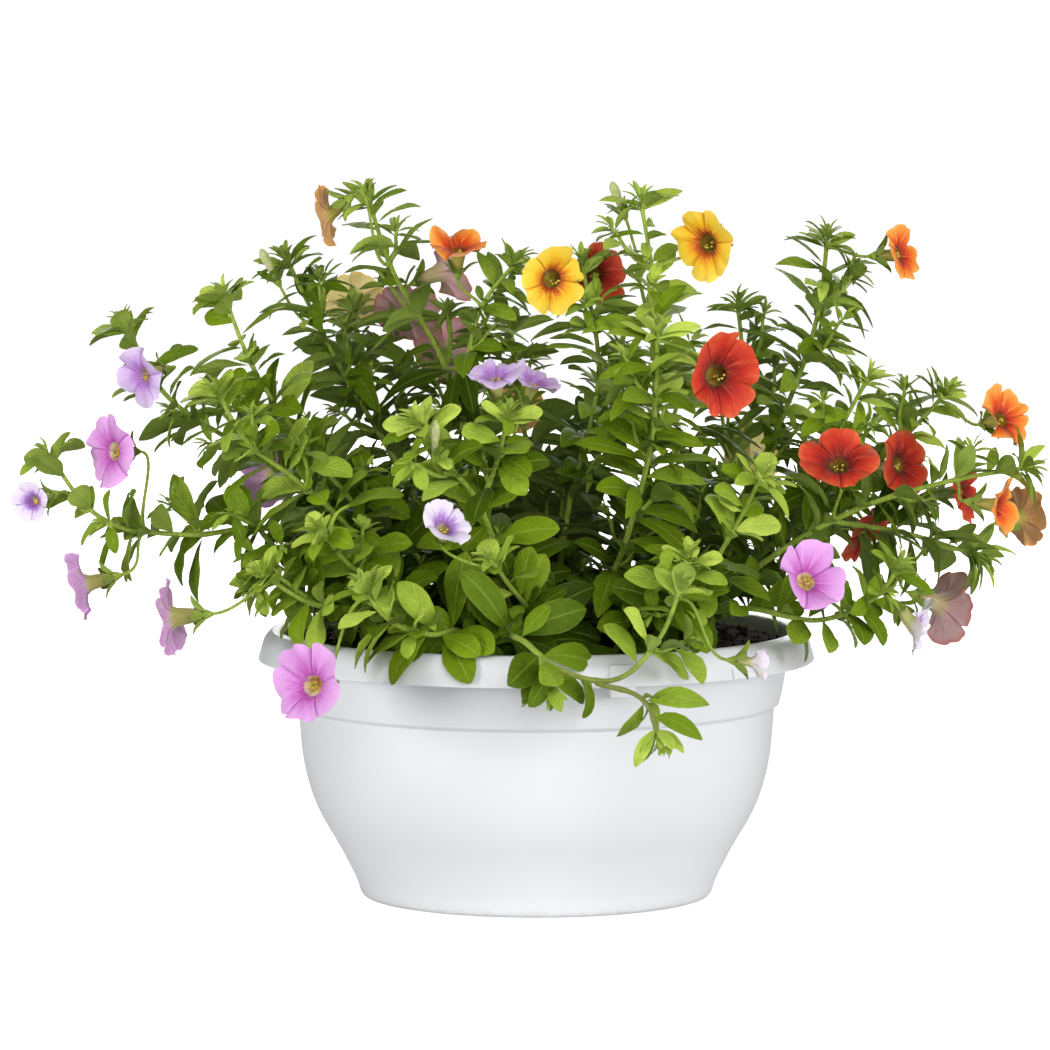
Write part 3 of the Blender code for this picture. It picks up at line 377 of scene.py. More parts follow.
# Stems: name, its place in the soil or the share of its parent where it starts, knots, leaf length, kind and green.
STEMS = (
    ("tall_left", (-22, 22), ((-26, 25, 175), (-43, 22, 240), (-66, 16, 283), (-76, 10, 315)), 33, SLIM, MID),
    ("tall_left", 0.52, ((-32, -4, 240), (-24, -8, 266), (-7, -12, 287)), 27, SLIM, MID),
    ("upright", (8, 14), ((14, 12, 170), (28, 6, 236), (20, 0, 286)), 32, SLIM, MID),
    ("tall_middle", (28, -2), ((44, -10, 160), (52, -15, 214), (53, -15, 268), (46, -15, 315)), 32, SLIM, BRIGHT),
    ("tall_right", (50, 24), ((84, 22, 162), (112, 20, 216), (127, 20, 261), (131, 15, 297)), 31, SLIM, MID),
    ("tall_right", 0.5, ((98, 46, 226), (91, 48, 266)), 26, SLIM, MID),
    ("tall_right", 0.17, ((100, 52, 164), (138, 70, 188), (162, 80, 214)), 30, SLIM, BRIGHT),
    ("right_arm", (60, 6), ((92, 0, 146), (138, -5, 182), (169, -14, 212), (184, -20, 229)), 31, SLIM, BRIGHT),
    ("right_arm", 0.5, ((134, -30, 210), (148, -40, 238)), 26, SLIM, BRIGHT),
    ("far_right", (58, -18), ((92, -34, 146), (143, -45, 178), (183, -45, 190), (220, -40, 196)), 32, SLIM, MID),
    ("far_right", 0.55, ((166, -18, 164), (201, -4, 152)), 34, SLIM, DEEP),
    ("low_right", (46, -40), ((88, -62, 135), (128, -76, 132), (150, -76, 143), (160, -75, 157)), 28, BROAD, MID),
    ("rim_trailer", (-4, -70), (
        (-13, -98, 126), (-6, -120, 127), (10, -136, 116), (34, -137, 112), (52, -130, 128), (63, -118, 152),
    ), 30, BROAD, MID),
    ("rim_trailer", 0.62, ((46, -150, 104), (53, -157, 86)), 30, SLIM, MID),
    ("front_middle", (-4, -44), ((-4, -74, 136), (-11, -92, 147), (-21, -98, 161)), 30, BROAD, BRIGHT),
    ("front_left", (-24, -62),
     ((-34, -90, 128), (-48, -112, 129), (-64, -120, 136), (-76, -120, 152)), 32, BROAD, BRIGHT),
    ("left_front", (-44, -34), ((-66, -58, 142), (-84, -78, 158), (-95, -85, 173)), 30, BROAD, BRIGHT),
    ("left_front", 0.4, ((-98, -82, 139), (-121, -92, 154)), 28, BROAD, BRIGHT),
    ("left_tall", (-50, 2), ((-78, -16, 172), (-108, -26, 211), (-126, -30, 240), (-139, -30, 273)), 33, BROAD, BRIGHT),
    ("left_middle", (-54, -16),
     ((-82, -45, 168), (-106, -60, 192), (-126, -66, 208), (-141, -70, 233)), 33, BROAD, BRIGHT),
    ("far_left_high", (-48, 22), ((-92, 16, 172), (-134, 6, 202), (-166, 0, 225), (-185, 0, 259)), 31, BROAD, MID),
    ("far_left", (-66, -4),
     ((-84, -24, 150), (-118, -36, 168), (-155, -45, 166), (-193, -45, 174), (-217, -40, 203)), 30, BROAD, MID),
    ("far_left", 0.36, ((-110, -58, 150), (-126, -76, 144)), 26, BROAD, DEEP),
    ("centre_left", (-16, -22),
     ((-18, -56, 160), (-29, -84, 189), (-42, -98, 205), (-53, -102, 222)), 32, BROAD, BRIGHT),
    ("centre_left", 0.6, ((-16, -94, 207), (-12, -98, 226)), 27, BROAD, BRIGHT),
    ("centre_right", (22, -26), ((40, -46, 165), (51, -62, 213), (53, -70, 260)), 34, SLIM, BRIGHT),
    ("right_front", (34, -50), ((66, -66, 138), (84, -82, 168), (99, -92, 198)), 29, BROAD, BRIGHT),
    ("right_front", 0.24, ((64, -92, 140), (66, -102, 164)), 28, BROAD, BRIGHT),
    ("back_left", (-34, 38), ((-58, 42, 180), (-88, 42, 233), (-114, 36, 286)), 33, SLIM, DEEP),
    ("back_left", 0.5, ((-76, 66, 228), (-86, 84, 262)), 28, SLIM, DEEP),
    ("back_far_left", (-46, 46), ((-84, 72, 158), (-122, 96, 186), (-150, 108, 214)), 31, BROAD, MID),
    ("back_far_left", 0.5, ((-96, 120, 176), (-112, 146, 190)), 27, BROAD, MID),
    ("back_middle", (2, 42), ((2, 68, 168), (-8, 96, 215), (-12, 112, 252)), 33, SLIM, MID),
    ("back_middle", 0.2, ((-34, 92, 164), (-54, 120, 178)), 29, SLIM, MID),
    ("back_middle", 0.5, ((24, 102, 202), (36, 122, 228)), 28, SLIM, MID),
    ("back_trailer", (-12, 66), ((-16, 98, 136), (-22, 138, 142), (-36, 172, 138), (-40, 188, 156)), 29, BROAD, BRIGHT),
    ("back_trailer", 0.3, ((8, 132, 150), (18, 154, 166)), 27, BROAD, BRIGHT),
    ("back_right", (34, 50), ((62, 84, 150), (88, 114, 180), (106, 126, 218)), 31, SLIM, MID),
    ("back_right", 0.4, ((60, 134, 152), (66, 164, 160)), 27, SLIM, MID),
)
# Blooms: colour and place, middle of the mouth, the way the tube faces as a turn about +Z from -Y and a rise,
# width, and for some the way that the mouth itself faces.
BLOOMS = (
    ("orange_tall_left", (-94, 10, 305), (-110, -35), 29, (-102, -12)),
    ("red_top", (-42, 24, 279), (60, 20), 35, (112, 12)),
    ("orange_top", (-35, -14, 291), (0, 68), 27),
    ("yellow_top", (7, -28, 278), (-20, 5), 33, (32, -8)),
    ("red_behind_yellow", (27, 0, 278), (28, 0), 30),
    ("yellow_right", (75, -32, 294), (-24, 4), 34, (-40, -10)),
    ("orange_tall_right", (163, 0, 288), (72, 5), 27, (64, 20)),
    ("red_front", (78, -97, 240), (-18, 2), 41, (34, 4)),
    ("red_right", (132, -72, 200), (-8, 34), 38, (-6, 50)),
    ("red_right_behind", (162, -26, 196), (50, 12), 33),
    ("orange_far_right", (206, -40, 217), (38, 12), 30, (46, 26)),
    ("red_far_right", (192, 0, 182), (70, 10), 30),
    ("orange_edge", (203, -58, 180), (72, -6), 28),
    ("orange_turned", (219, 22, 168), (132, 6), 31),
    ("red_low", (147, -12, 164), (62, -30), 31),
    ("pink_right", (117, -108, 152), (6, 16), 35, (34, 28)),
    ("white_right", (166, -78, 129), (58, -42), 30, (76, -14)),
    ("red_turned", (184, 22, 128), (118, -20), 38),
    ("white_rim", (93, -124, 118), (78, -4), 17),
    ("lilac_left", (-175, -26, 235), (-52, -12), 29, (-50, -8)),
    ("pink_left", (-187, -56, 204), (-42, 4), 34, (-52, 2)),
    ("white_far_left", (-222, -46, 181), (-62, -16), 21, (-24, 0)),
    ("pink_low_left", (-198, -76, 147), (-84, -14), 32),
    ("pink_edge", (-160, -92, 134), (-98, -6), 38),
    ("pink_rim", (-97, -134, 109), (-18, -4), 38, (-36, 16)),
    ("white_middle", (-40, -130, 177), (4, 34), 27, (36, 38)),
    ("lilac_middle", (-18, -88, 239), (-12, 66), 27),
    ("lilac_middle_right", (-1, -68, 235), (42, 58), 24),
    ("red_back_left", (-60, 64, 258), (160, 22), 32),
    ("red_back", (-42, 84, 240), (168, 12), 33),
    ("yellow_back_left", (-84, 100, 262), (190, 14), 29),
    ("orange_back", (-10, 146, 208), (178, 24), 31),
    ("yellow_back_right", (100, 152, 184), (160, 20), 32),
    ("pink_back_left", (-124, 152, 176), (208, 12), 34),
    ("lilac_back", (-46, 206, 150), (188, 14), 30),
)
BUDS = (
    ((-121, 32, 282), -60, 60, 16), ((36, -10, 314), -60, 66, 15), ((-44, -104, 214), 10, 80, 15),
    ((138, 22, 272), 60, 50, 17), ((-30, 150, 160), 200, 40, 15), ((128, 92, 192), 140, 40, 15),
)
STALK, STALK_LEAST, STALK_MOST = 0.85, 14, 75
BLOOM_TRIES = (0, -4, 4, -8, 8, -13, 13, -18, 18)
TUBE_ROOT, CALYX_HALF, CALYX_DEEP, SEPAL, CALYX_GAP = 1.7, 2.5, 3, 8, 0.35


def facing(turn, rise):
    """The unit direction at a turn about +Z from -Y, positive towards +X, and a rise above the level."""
    turn, rise = math.radians(turn), math.radians(rise)
    return Vector((math.sin(turn) * math.cos(rise), -math.cos(turn) * math.cos(rise), math.sin(rise)))


def across(direction, spin=0.0):
    """Two unit vectors square to the direction and to each other, turned by the spin about it."""
    start = UP if abs(direction.z) < 0.9 else Vector((0, 1, 0))
    first = Quaternion(direction, math.radians(spin)) @ direction.cross(start).normalized()
    return first, direction.cross(first)


SAME_PLACE = 0.00006
corner_trees = {}


def has_corner(node, place):
    """Whether the solid of this name has a corner here, so that the same try is taken here as there."""
    if node not in corner_trees:
        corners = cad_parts[node].data.vertices
        corner_trees[node] = KDTree(len(corners))
        for k, corner in enumerate(corners):
            corner_trees[node].insert(corner.co, k)
        corner_trees[node].balance()
    return corner_trees[node].find(place * MM)[2] < SAME_PLACE


class Route:
    """A smooth line through knots, with a frame along it that doesn't twist."""

    def __init__(self, knots):
        self.points = self.through([Vector(knot) for knot in knots])
        steps = [b - a for a, b in zip(self.points, self.points[1:])]
        self.reach = [0.0]
        for step in steps:
            self.reach.append(self.reach[-1] + step.length)
        self.length = self.reach[-1]
        self.ways = [step.normalized() for step in steps] + [steps[-1].normalized()]
        self.sides = [across(self.ways[0])[0]]
        for way in self.ways[1:]:
            side = self.sides[-1] - way * self.sides[-1].dot(way)
            self.sides.append(side.normalized())

    @staticmethod
    def through(knots, per_span=10):
        """A curve that leaves each knot in the mean way of its two spans, the shorter one counting more."""
        spans = [b - a for a, b in zip(knots, knots[1:])]
        ways = [spans[0].normalized()]
        for before, after in zip(spans, spans[1:]):
            ways.append((before / before.length_squared + after / after.length_squared).normalized())
        ways.append(spans[-1].normalized())
        points = []
        for k, span in enumerate(spans):
            for step in range(per_span):
                t = step / per_span
                ease = t * t * (3 - 2 * t)
                lean = ways[k] * (t * (1 - t) ** 2) - ways[k + 1] * (t * t * (1 - t))
                points.append(knots[k] + span * ease + lean * span.length)
        return points + [knots[-1]]

    def at(self, distance):
        """Place, way and side of the line at a distance along it."""
        span = 0
        while span < len(self.reach) - 2 and self.reach[span + 1] < distance:
            span += 1
        share = (distance - self.reach[span]) / (self.reach[span + 1] - self.reach[span])
        place = self.points[span].lerp(self.points[span + 1], share)
        way = self.ways[span].lerp(self.ways[span + 1], min(max(share, 0), 1)).normalized()
        side = self.sides[span] - way * self.sides[span].dot(way)
        return place, way, side.normalized()


class Shoot:
    """One leafy stem: its line, its thickness and the stations where leaves and stalks leave it."""

    def __init__(self, number, name, knots, leaf, kind, green, root_half, from_soil):
        self.number, self.name, self.leaf, self.kind, self.green = number, name, leaf, kind, green
        self.route = Route(knots)
        self.root_half, self.from_soil = root_half, from_soil
        self.first_turn = random.Random(number).uniform(0, 90)
        bare = BARE_STEM if from_soil else BARE_SHOOT
        count = max(2, round((self.route.length - bare) / STATION_GAP))
        gap = (self.route.length - bare - TIP_LENGTH) / count
        self.distances = [bare + gap * step for step in range(count + 1)]
        self.taken = set()

    def half(self, distance):
        return self.root_half + (STEM_TIP - self.root_half) * distance / self.route.length

    def beside(self, distance, angle):
        """Place on the stem's side, way and outward direction at a distance and an angle round it."""
        place, way, side = self.route.at(distance)
        outward = Quaternion(way, math.radians(angle)) @ side
        return place + outward * self.half(distance) * 0.7, way, outward

    def out(self, station, face):
        return self.beside(self.distances[station], self.first_turn + STATION_TURN * station + 90 * face)

    def best_face(self, station, towards):
        free = [face for face in range(4) if (station, face) not in self.taken]
        return max(free, key=lambda face: self.out(station, face)[2].dot(towards), default=None)


shoots = []
for number, (name, start, passes, leaf, kind, green) in enumerate(STEMS):
    from_soil = isinstance(start, tuple)
    if from_soil:
        knots = [(*start, SOIL_TOP - HOLE_DEPTH + 0.4), (*start, SOIL_TOP + 4), *passes]
    else:
        parent = next(shoot for shoot in shoots if shoot.name == name)
        station = round(start * (len(parent.distances) - 1))
        face = parent.best_face(station, Vector(passes[0]) - parent.out(station, 0)[0])
        knots = [parent.out(station, face)[0], *passes]
        parent.taken.add((station, face))
    firm, root_half = (2, STEM_ROOT) if from_soil else (1, STEM_ROOT * 0.75)
    for bend in STEM_TRIES:
        if has_corner("stem_" + name, Vector(knots[-1]) + bend):
            bent = [Vector(knot) + (bend if k >= firm else Vector()) for k, knot in enumerate(knots)]
            shoots.append(Shoot(number, name, bent, leaf, kind, green, root_half, from_soil))
            break


class Blade:
    """A leaf's rib, face and outline. It grows out of a stem's side at its root, and its face turns to the light."""

    def __init__(self, root, way, out, length, kind, pitch, turn, opening=0.75):
        ratio, self.low_power, self.high_power, self.arch = kind
        out = Quaternion(way, math.radians(turn)) @ out
        pitch = math.radians(pitch)
        self.root, self.length, self.width = root, length, length * ratio
        self.along = way * math.cos(pitch) + out * math.sin(pitch)
        hint = way * 0.5 + UP * 0.8
        self.up = (hint - self.along * hint.dot(self.along)).normalized()
        light = self.up + Vector((root.x, root.y, 0)).normalized() * opening
        self.face = (light - self.along * light.dot(self.along)).normalized()

    def rib(self, t):
        return self.root + (self.along * t - self.up * self.arch * t * t) * self.length


def pattern_blade(columns, rows):
    """One flat leaf blade in units: x from edge to edge, y from root to tip, z the upper or lower face."""
    item = added("grid", x_subdivisions=columns, y_subdivisions=rows, size=2)
    bpy.ops.object.mode_set(mode="EDIT")
    bpy.ops.mesh.select_all(action="SELECT")
    bpy.ops.mesh.duplicate_move(TRANSFORM_OT_translate={"value": (0, 0, -1)})
    bpy.ops.mesh.flip_normals()
    bpy.ops.object.mode_set(mode="OBJECT")
    for vertex in item.data.vertices:
        x, y, z = vertex.co
        rim = abs(x) > 0.999 or abs(y) > 0.999
        height = 0 if rim else 1 if z > -0.5 else -1
        vertex.co = (0 if abs(y) > 0.999 else x, math.sin((y + 1) * math.pi / 4), height)
    bpy.ops.object.mode_set(mode="EDIT")
    bpy.ops.mesh.select_all(action="SELECT")
    bpy.ops.mesh.remove_doubles(threshold=0.0001)
    bpy.ops.object.mode_set(mode="OBJECT")
    points = np.array([vertex.co[:] for vertex in item.data.vertices])
    corners = [list(face.vertices) for face in item.data.polygons]
    faces = np.array([(own + [NO_CORNER])[:4] for own in corners])
    maps = points[np.concatenate(corners)][:, :2] * (0.5, 1) + (0.5, 0)
    under = np.array([float(min(points[k][2] for k in own) < -0.5) for own in corners])
    bpy.data.objects.remove(item)
    return points, faces, maps, under


leaf_pattern, small_pattern = pattern_blade(4, 8), pattern_blade(2, 8)
LEAF_FOLD, LEAF_CURL, TIP_DROOP = 0.52, 0.42, 0.5
# The bush's reach, by which leaves deep inside it are painted darker as painted shade.
BUSH_WIDE, BUSH_DEEP, BUSH_FOOT = 185, 150, 105
FRONT = Vector((0, -3000, 430))  # where the photograph was taken from
KEPT_OPEN = ((Vector((36, -122, 109)), 13), (Vector((96, 10, 113)), 14))  # the lug and some soil, with a radius


def hides(place, target, reach):
    """Whether something here would cover the target from the front."""
    line = target - FRONT
    share = (place - FRONT).dot(line) / line.length_squared
    return share < 0.998 and (FRONT + line * share - place).length < reach


def unit(rows):
    return rows / np.linalg.norm(rows, axis=1)[:, None]


def bent_blade(heap, leaf, age_and_shade, chance, wave=0.12, thick=0.2, pattern=None):
    """Adds a copy of the pattern, widened to the leaf's outline, folded at its rib and arched."""
    middle = leaf.rib(0.6)
    outward = Vector((middle.x / BUSH_WIDE, middle.y / BUSH_DEEP, (middle.z - BUSH_FOOT) / BUSH_WIDE)).length
    age_and_shade -= 0.5 * max(0.0, 0.8 - outward)  # leaves deep in the bush are painted darker, as painted shade
    pattern = pattern or (leaf_pattern if leaf.length > 15 else small_pattern)
    points, faces, maps, under = pattern
    x, t, z = points.T
    a, b = leaf.low_power, max(0.72, leaf.high_power)
    peak = (a / (a + b)) ** a * (b / (a + b)) ** b
    half = (1.1 * leaf.width - 0.6 * max(0.0, leaf.width - 10)) / 2 * t**a * (1 - t) ** b / peak
    half = np.maximum(half, np.minimum(0.035 * leaf.length, 0.7) * np.minimum(1, (1 - t) * 6))
    along, up, root = (np.array(vector) for vector in (leaf.along, leaf.up, leaf.root))
    arch = leaf.arch * (0.6 + 1.7 * (chance * 13 % 1))
    ways = unit(along - up * (2 * arch * t)[:, None])
    face = np.array(Quaternion(leaf.along, (chance * 7 % 1 - 0.5) * 0.9) @ leaf.face)
    ups = unit(face - ways * (ways @ face)[:, None])
    ribs = root + (along * t[:, None] - up * (arch * t * t)[:, None]) * leaf.length
    curl = LEAF_CURL * (1.0 if pattern is leaf_pattern else 0.6)
    bend = np.abs(x) * LEAF_FOLD * half - np.abs(x) ** 2.4 * curl * half
    bend -= leaf.length * TIP_DROOP * np.maximum(0.0, t - 0.55) ** 2 * (chance * 29 % 1)
    bend += half * wave * np.sin(t * (7 + 3 * chance) + 6.28 * chance + np.sign(x)) * np.abs(x) ** 2
    body = thick * (1 - 0.4 * np.abs(x)) + 0.35 * np.exp(-(x * 5) ** 2) * (z < 0) * (1 - t)
    spots = ribs + np.cross(ways, ups) * (x * half)[:, None] + ups * (bend + z * body)[:, None]
    heap.add(spots, faces, maps, under, (age_and_shade, chance, 0))


def grow_leaf(heap, leaf, age_and_shade, chance, **shape):
    """Adds the leaf, unless it would cover a place that is kept open."""
    if not any(hides(leaf.rib(t), place, reach) for place, reach in KEPT_OPEN for t in (0.3, 0.6, 0.95)):
        bent_blade(heap, leaf, age_and_shade, chance, **shape)


class Lines:
    """Round tubes along lines of (point, radius), made as one bevelled curve that becomes a mesh."""

    def __init__(self, name, sides=2):
        self.curve = bpy.data.curves.new(name, "CURVE")
        self.curve.dimensions, self.curve.bevel_depth = "3D", 1.0
        self.curve.bevel_resolution, self.curve.use_fill_caps = sides, True
        self.item = bpy.data.objects.new(name, self.curve)
        bpy.context.scene.collection.objects.link(self.item)

    def add(self, points, radii):
        spline = self.curve.splines.new("POLY")
        spline.points.add(len(points) - 1)
        for corner, point, radius in zip(spline.points, points, radii):
            corner.co, corner.radius = (*(Vector(point) * MM), 1), radius * MM

    def mesh(self, *materials):
        pick(self.item)
        bpy.ops.object.convert(target="MESH")
        for material in materials:
            self.item.data.materials.append(material)
        return self.item


# Every flower's own line is found first, because the leaves keep clear of them.
class Flower:
    """Where a corolla stands: the middle of its mouth, the way its tube faces, its two spokes and the mouth's turn."""

    def __init__(self, number, shift, name, middle, tube_way, width, mouth_way=None):
        self.number, self.width = number, width
        self.name, self.colour = "bloom_" + name, name.split("_")[0]
        self.way = facing(*tube_way)
        self.mouth = self.way.rotation_difference(facing(*mouth_way)) if mouth_way else Quaternion()
        self.middle = Vector(middle) + Vector((0, shift, 0))
        self.tube = width * 0.4
        self.base = self.middle - self.way * self.tube
        self.first, self.second = across(self.way, random.Random(number).uniform(0, 72))


def curve_at(knots, t):
    s = 1 - t
    return knots[0] * s**3 + knots[1] * 3 * s * s * t + knots[2] * 3 * s * t * t + knots[3] * t**3


def stalk_knots(root, way, out, top, direction):
    """A flower stalk's curve, from the stem's side to the foot of the calyx."""
    end = top - direction * (CALYX_DEEP + 1.2)
    reach = (end - root).length
    return root, root + (way * 0.5 + out).normalized() * reach * 0.3, end - direction * reach * 0.35, end


def stalk_corner(knots):
    """The first corner that the solid's stalk has a third of the way along."""
    t, s = 1 / 3, 1 - 1 / 3
    along = (knots[1] - knots[0]) * s * s + (knots[2] - knots[1]) * 2 * s * t + (knots[3] - knots[2]) * t * t
    along.normalize()
    side = across(along)[0]
    angle = math.radians(-45)
    return curve_at(knots, t) + (side * math.cos(angle) + along.cross(side) * math.sin(angle)) * STALK


def stalk_of(top, direction):
    """The shoot, station and face whose stalk the solid has, which is then taken."""
    for shoot in shoots:
        for station in range(len(shoot.distances)):
            gap = top - shoot.out(station, 0)[0]
            face = shoot.best_face(station, gap) if STALK_LEAST < gap.length < STALK_MOST else None
            if face is not None:
                knots = stalk_knots(*shoot.out(station, face), top, direction)
                if has_corner("stem_" + shoot.name, stalk_corner(knots)):
                    shoot.taken.add((station, face))
                    return shoot, station, face


flowers, stalks = [], []
for number, row in enumerate(BLOOMS):
    for shift in BLOOM_TRIES:
        flower = Flower(number, shift, *row)
        if has_corner(flower.name, flower.middle - flower.way * flower.tube * 0.5):
            flowers.append(flower)
            top = flower.base - flower.way * CALYX_GAP
            stalks.append((stalk_of(top, flower.way), top, flower.way, 0))
            break
for middle, turn, rise, length in BUDS:
    way = facing(turn, rise)
    base = Vector(middle) - way * length / 2
    stalks.append((stalk_of(base, way), base, way, length))

points, faces = [], []
for name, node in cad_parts.items():
    if name.startswith(("stem_", "bloom_", "pot")):
        faces += [tuple(corner + len(points) for corner in face.vertices) for face in node.data.polygons]
        points += [vertex.co / MM for vertex in node.data.vertices]
grown = BVHTree.FromPolygons(points, faces)
bloom_tree = KDTree(len(flowers) * 2)
for k, flower in enumerate(flowers):
    bloom_tree.insert(flower.middle, 2 * k)
    bloom_tree.insert(flower.middle + flower.way * flower.width * 0.3, 2 * k + 1)
bloom_tree.balance()

OPEN_BEFORE, OPEN_ROUND, TIP_CLEAR = 0.4, 0.42, 17  # kept free at the blooms: two shares of the width, and mm
CROWD_SHARE, CROWD_GAP, CELL = 0.17, 1.2, 8
crowd = {}


def cell_of(place):
    return tuple(math.floor(value / CELL) for value in place)


def free_space(leaf):
    """Whether no leaf that is already placed lies close to the middle or tip of this one, which is then noted."""
    own = [leaf.rib(0.5), leaf.rib(0.85)]
    for place in own:
        x, y, z = cell_of(place)
        for step in itertools.product((-1, 0, 1), repeat=3):
            for other, length in crowd.get((x + step[0], y + step[1], z + step[2]), ()):
                if (other - place).length < CROWD_SHARE * min(leaf.length, length) + CROWD_GAP:
                    return False
    for place in own:
        crowd.setdefault(cell_of(place), []).append((place, leaf.length))
    return True


def hides_bloom(place):
    return any(hides(place, flower.middle, flower.width * OPEN_BEFORE) for flower in flowers)


def clear(leaf):
    """Whether a further leaf's rib passes through none of the solids, and stays off the blooms and the other leaves."""
    places = [leaf.rib(share) for share in (0.25, 0.6, 1.0)]
    for start, end in zip(places, places[1:]):
        if grown.ray_cast(start, (end - start).normalized(), (end - start).length + 0.5)[0]:
            return False
    for place in places[1:]:
        near = bloom_tree.find(place)
        if near[2] < flowers[near[1] // 2].width * OPEN_ROUND or hides_bloom(place):
            return False
    return free_space(leaf)


def planned_leaves(shoot):
    """The leaves that the solid has: each station's faces, with the try that its tip is found at."""
    last = len(shoot.distances) - 1
    for station in range(last + 1):
        wanted = (0, 1, 2, 3) if station == last else (0, 1, 2) if station % 2 else (0, 2)
        for face in wanted:
            if (station, face) in shoot.taken:
                continue
            draws = random.Random(shoot.number * 1000 + station * 10 + face)
            share = station / last
            length = shoot.leaf * (1.14 - 0.36 * share) * draws.uniform(0.88, 1.1)
            pitch = 74 - 20 * share + draws.uniform(-8, 8)
            if station == last:
                length, pitch = shoot.leaf * draws.uniform(0.46, 0.6), 46 + draws.uniform(-6, 6)
            elif station == last - 1:
                length = shoot.leaf * draws.uniform(0.66, 0.84)
            turn = draws.uniform(-12, 12)
            for more_pitch, more_turn, size in LEAF_TRIES:
                leaf = Blade(*shoot.out(station, face), length * size, shoot.kind, pitch + more_pitch, turn + more_turn)
                if has_corner("stem_" + shoot.name, leaf.rib(1)):
                    yield leaf, share
                    break


TENDER, YOUNG_SLIM = (0.46, 1.1, 0.56, 0.18), (0.30, 0.85, 0.85, 0.16)
FULL, LANCE = (0.50, 1.15, 0.56, 0.18), (0.34, 0.95, 0.88, 0.22)
FULLNESS = {"rim_trailer": 0.35, "far_left": 0.6, "far_right": 0.65, "low_right": 0.6, "left_front": 0.7,
            "centre_left": 0.7, "right_front": 0.7}
SPIRAL = 137.5
GAP_LEAVES = (  # share of the gap, further distance, size, how much the size falls to the tip, pitch
    (0.3, 0, 1.12, 0.35, 68), (0.5, 0, 1.0, 0.3, 64), (0.72, 0, 0.9, 0.25, 60), (0.86, 0, 0.6, 0, 52),
    (0, 2, 0.42, 0, 40), (0, -1, 0.6, 0, 48), (0.42, 0, 0.95, 0.3, 72),
    (0.12, 0, 1.0, 0.3, 66), (0.6, 0, 1.0, 0.3, 70),  # these two on slim shoots alone
)


def fuller(kind):
    return FULL if kind is BROAD else LANCE


def varied(kind, draws):
    ratio, low, high, arch = kind
    return ratio * draws.uniform(0.86, 1.12), low, high, arch * draws.uniform(0.5, 1.7)


def rosette(heap, lines, place, way, side, reach, size, count, kind, draws, share):
    """A growing tip: some open leaves round it, and small ones in a close spiral that shut over the point."""
    lines.add([place, place + way * reach], [1.0, 0.5])
    for k in range(count):
        young = k / (count - 1)
        shut = max(0.0, (young - 0.3) / 0.7)
        outward = Quaternion(way, math.radians(SPIRAL * k + draws.uniform(-18, 18))) @ side
        root = place + way * reach * young + outward * 0.5
        length = size * (1 - 0.25 * young) * (1 - 0.42 * min(1, shut * 2.2)) * draws.uniform(0.8, 1.15)
        pitch = 68 - 24 * young - 26 * min(1, shut * 1.6) + draws.uniform(-12, 12)
        own = varied(TENDER if kind is BROAD and shut == 0 else YOUNG_SLIM, draws)
        leaf = Blade(root, way, outward, length, own, pitch, draws.uniform(-8, 8), 0.35 * (1 - young))
        grow_leaf(heap, leaf, share + (1.1 - share) * young, draws.random(), wave=0.08, pattern=small_pattern)


def side_shoot(shoot, station, heap, lines, draws):
    """A short leafy branch out of a leaf's axil, with its own growing tip."""
    share = station / len(shoot.distances)
    for _ in range(5):
        place, way, outward = shoot.beside(shoot.distances[station] + 2, draws.uniform(0, 360))
        reach = draws.uniform(12, 30) * (1 - 0.4 * share)
        lean = (way + outward * draws.uniform(0.7, 1.2) + UP * 0.3).normalized()
        tip = place + lean * reach
        blocked = grown.ray_cast(place + outward * 1.5, lean, reach + 7)[0]
        if not blocked and bloom_tree.find(tip)[2] > TIP_CLEAR and not hides_bloom(tip):
            break
    else:
        return
    elbow = place + (outward + way * 0.3).normalized() * reach * 0.4

    def bow(t):
        return place.lerp(elbow, t).lerp(elbow.lerp(tip, t), t)

    lines.add([bow(t) for t in (0, 0.2, 0.4, 0.6, 0.8, 1)], [1.25, 1.1, 1.0, 0.95, 0.9, 0.8])
    first, angle = across(lean)[0], draws.uniform(0, 360)
    for k in range(int(reach / 3.4)):
        angle += SPIRAL
        t = 0.2 + 0.7 * k * 3.4 / reach
        length = shoot.leaf * (0.86 - 0.3 * t) * draws.uniform(0.8, 1.15)
        leaf = Blade(bow(t), lean, Quaternion(lean, math.radians(angle)) @ first, length,
                     varied(fuller(shoot.kind), draws), 62 + draws.uniform(-12, 12), draws.uniform(-15, 15))
        if clear(leaf):
            grow_leaf(heap, leaf, 0.25 + 0.5 * t * (0.4 + share), draws.random(), pattern=small_pattern)
    rosette(heap, lines, tip, lean, first, 5, shoot.leaf * 0.46, 9, shoot.kind, draws, 0.2 + 0.4 * share)


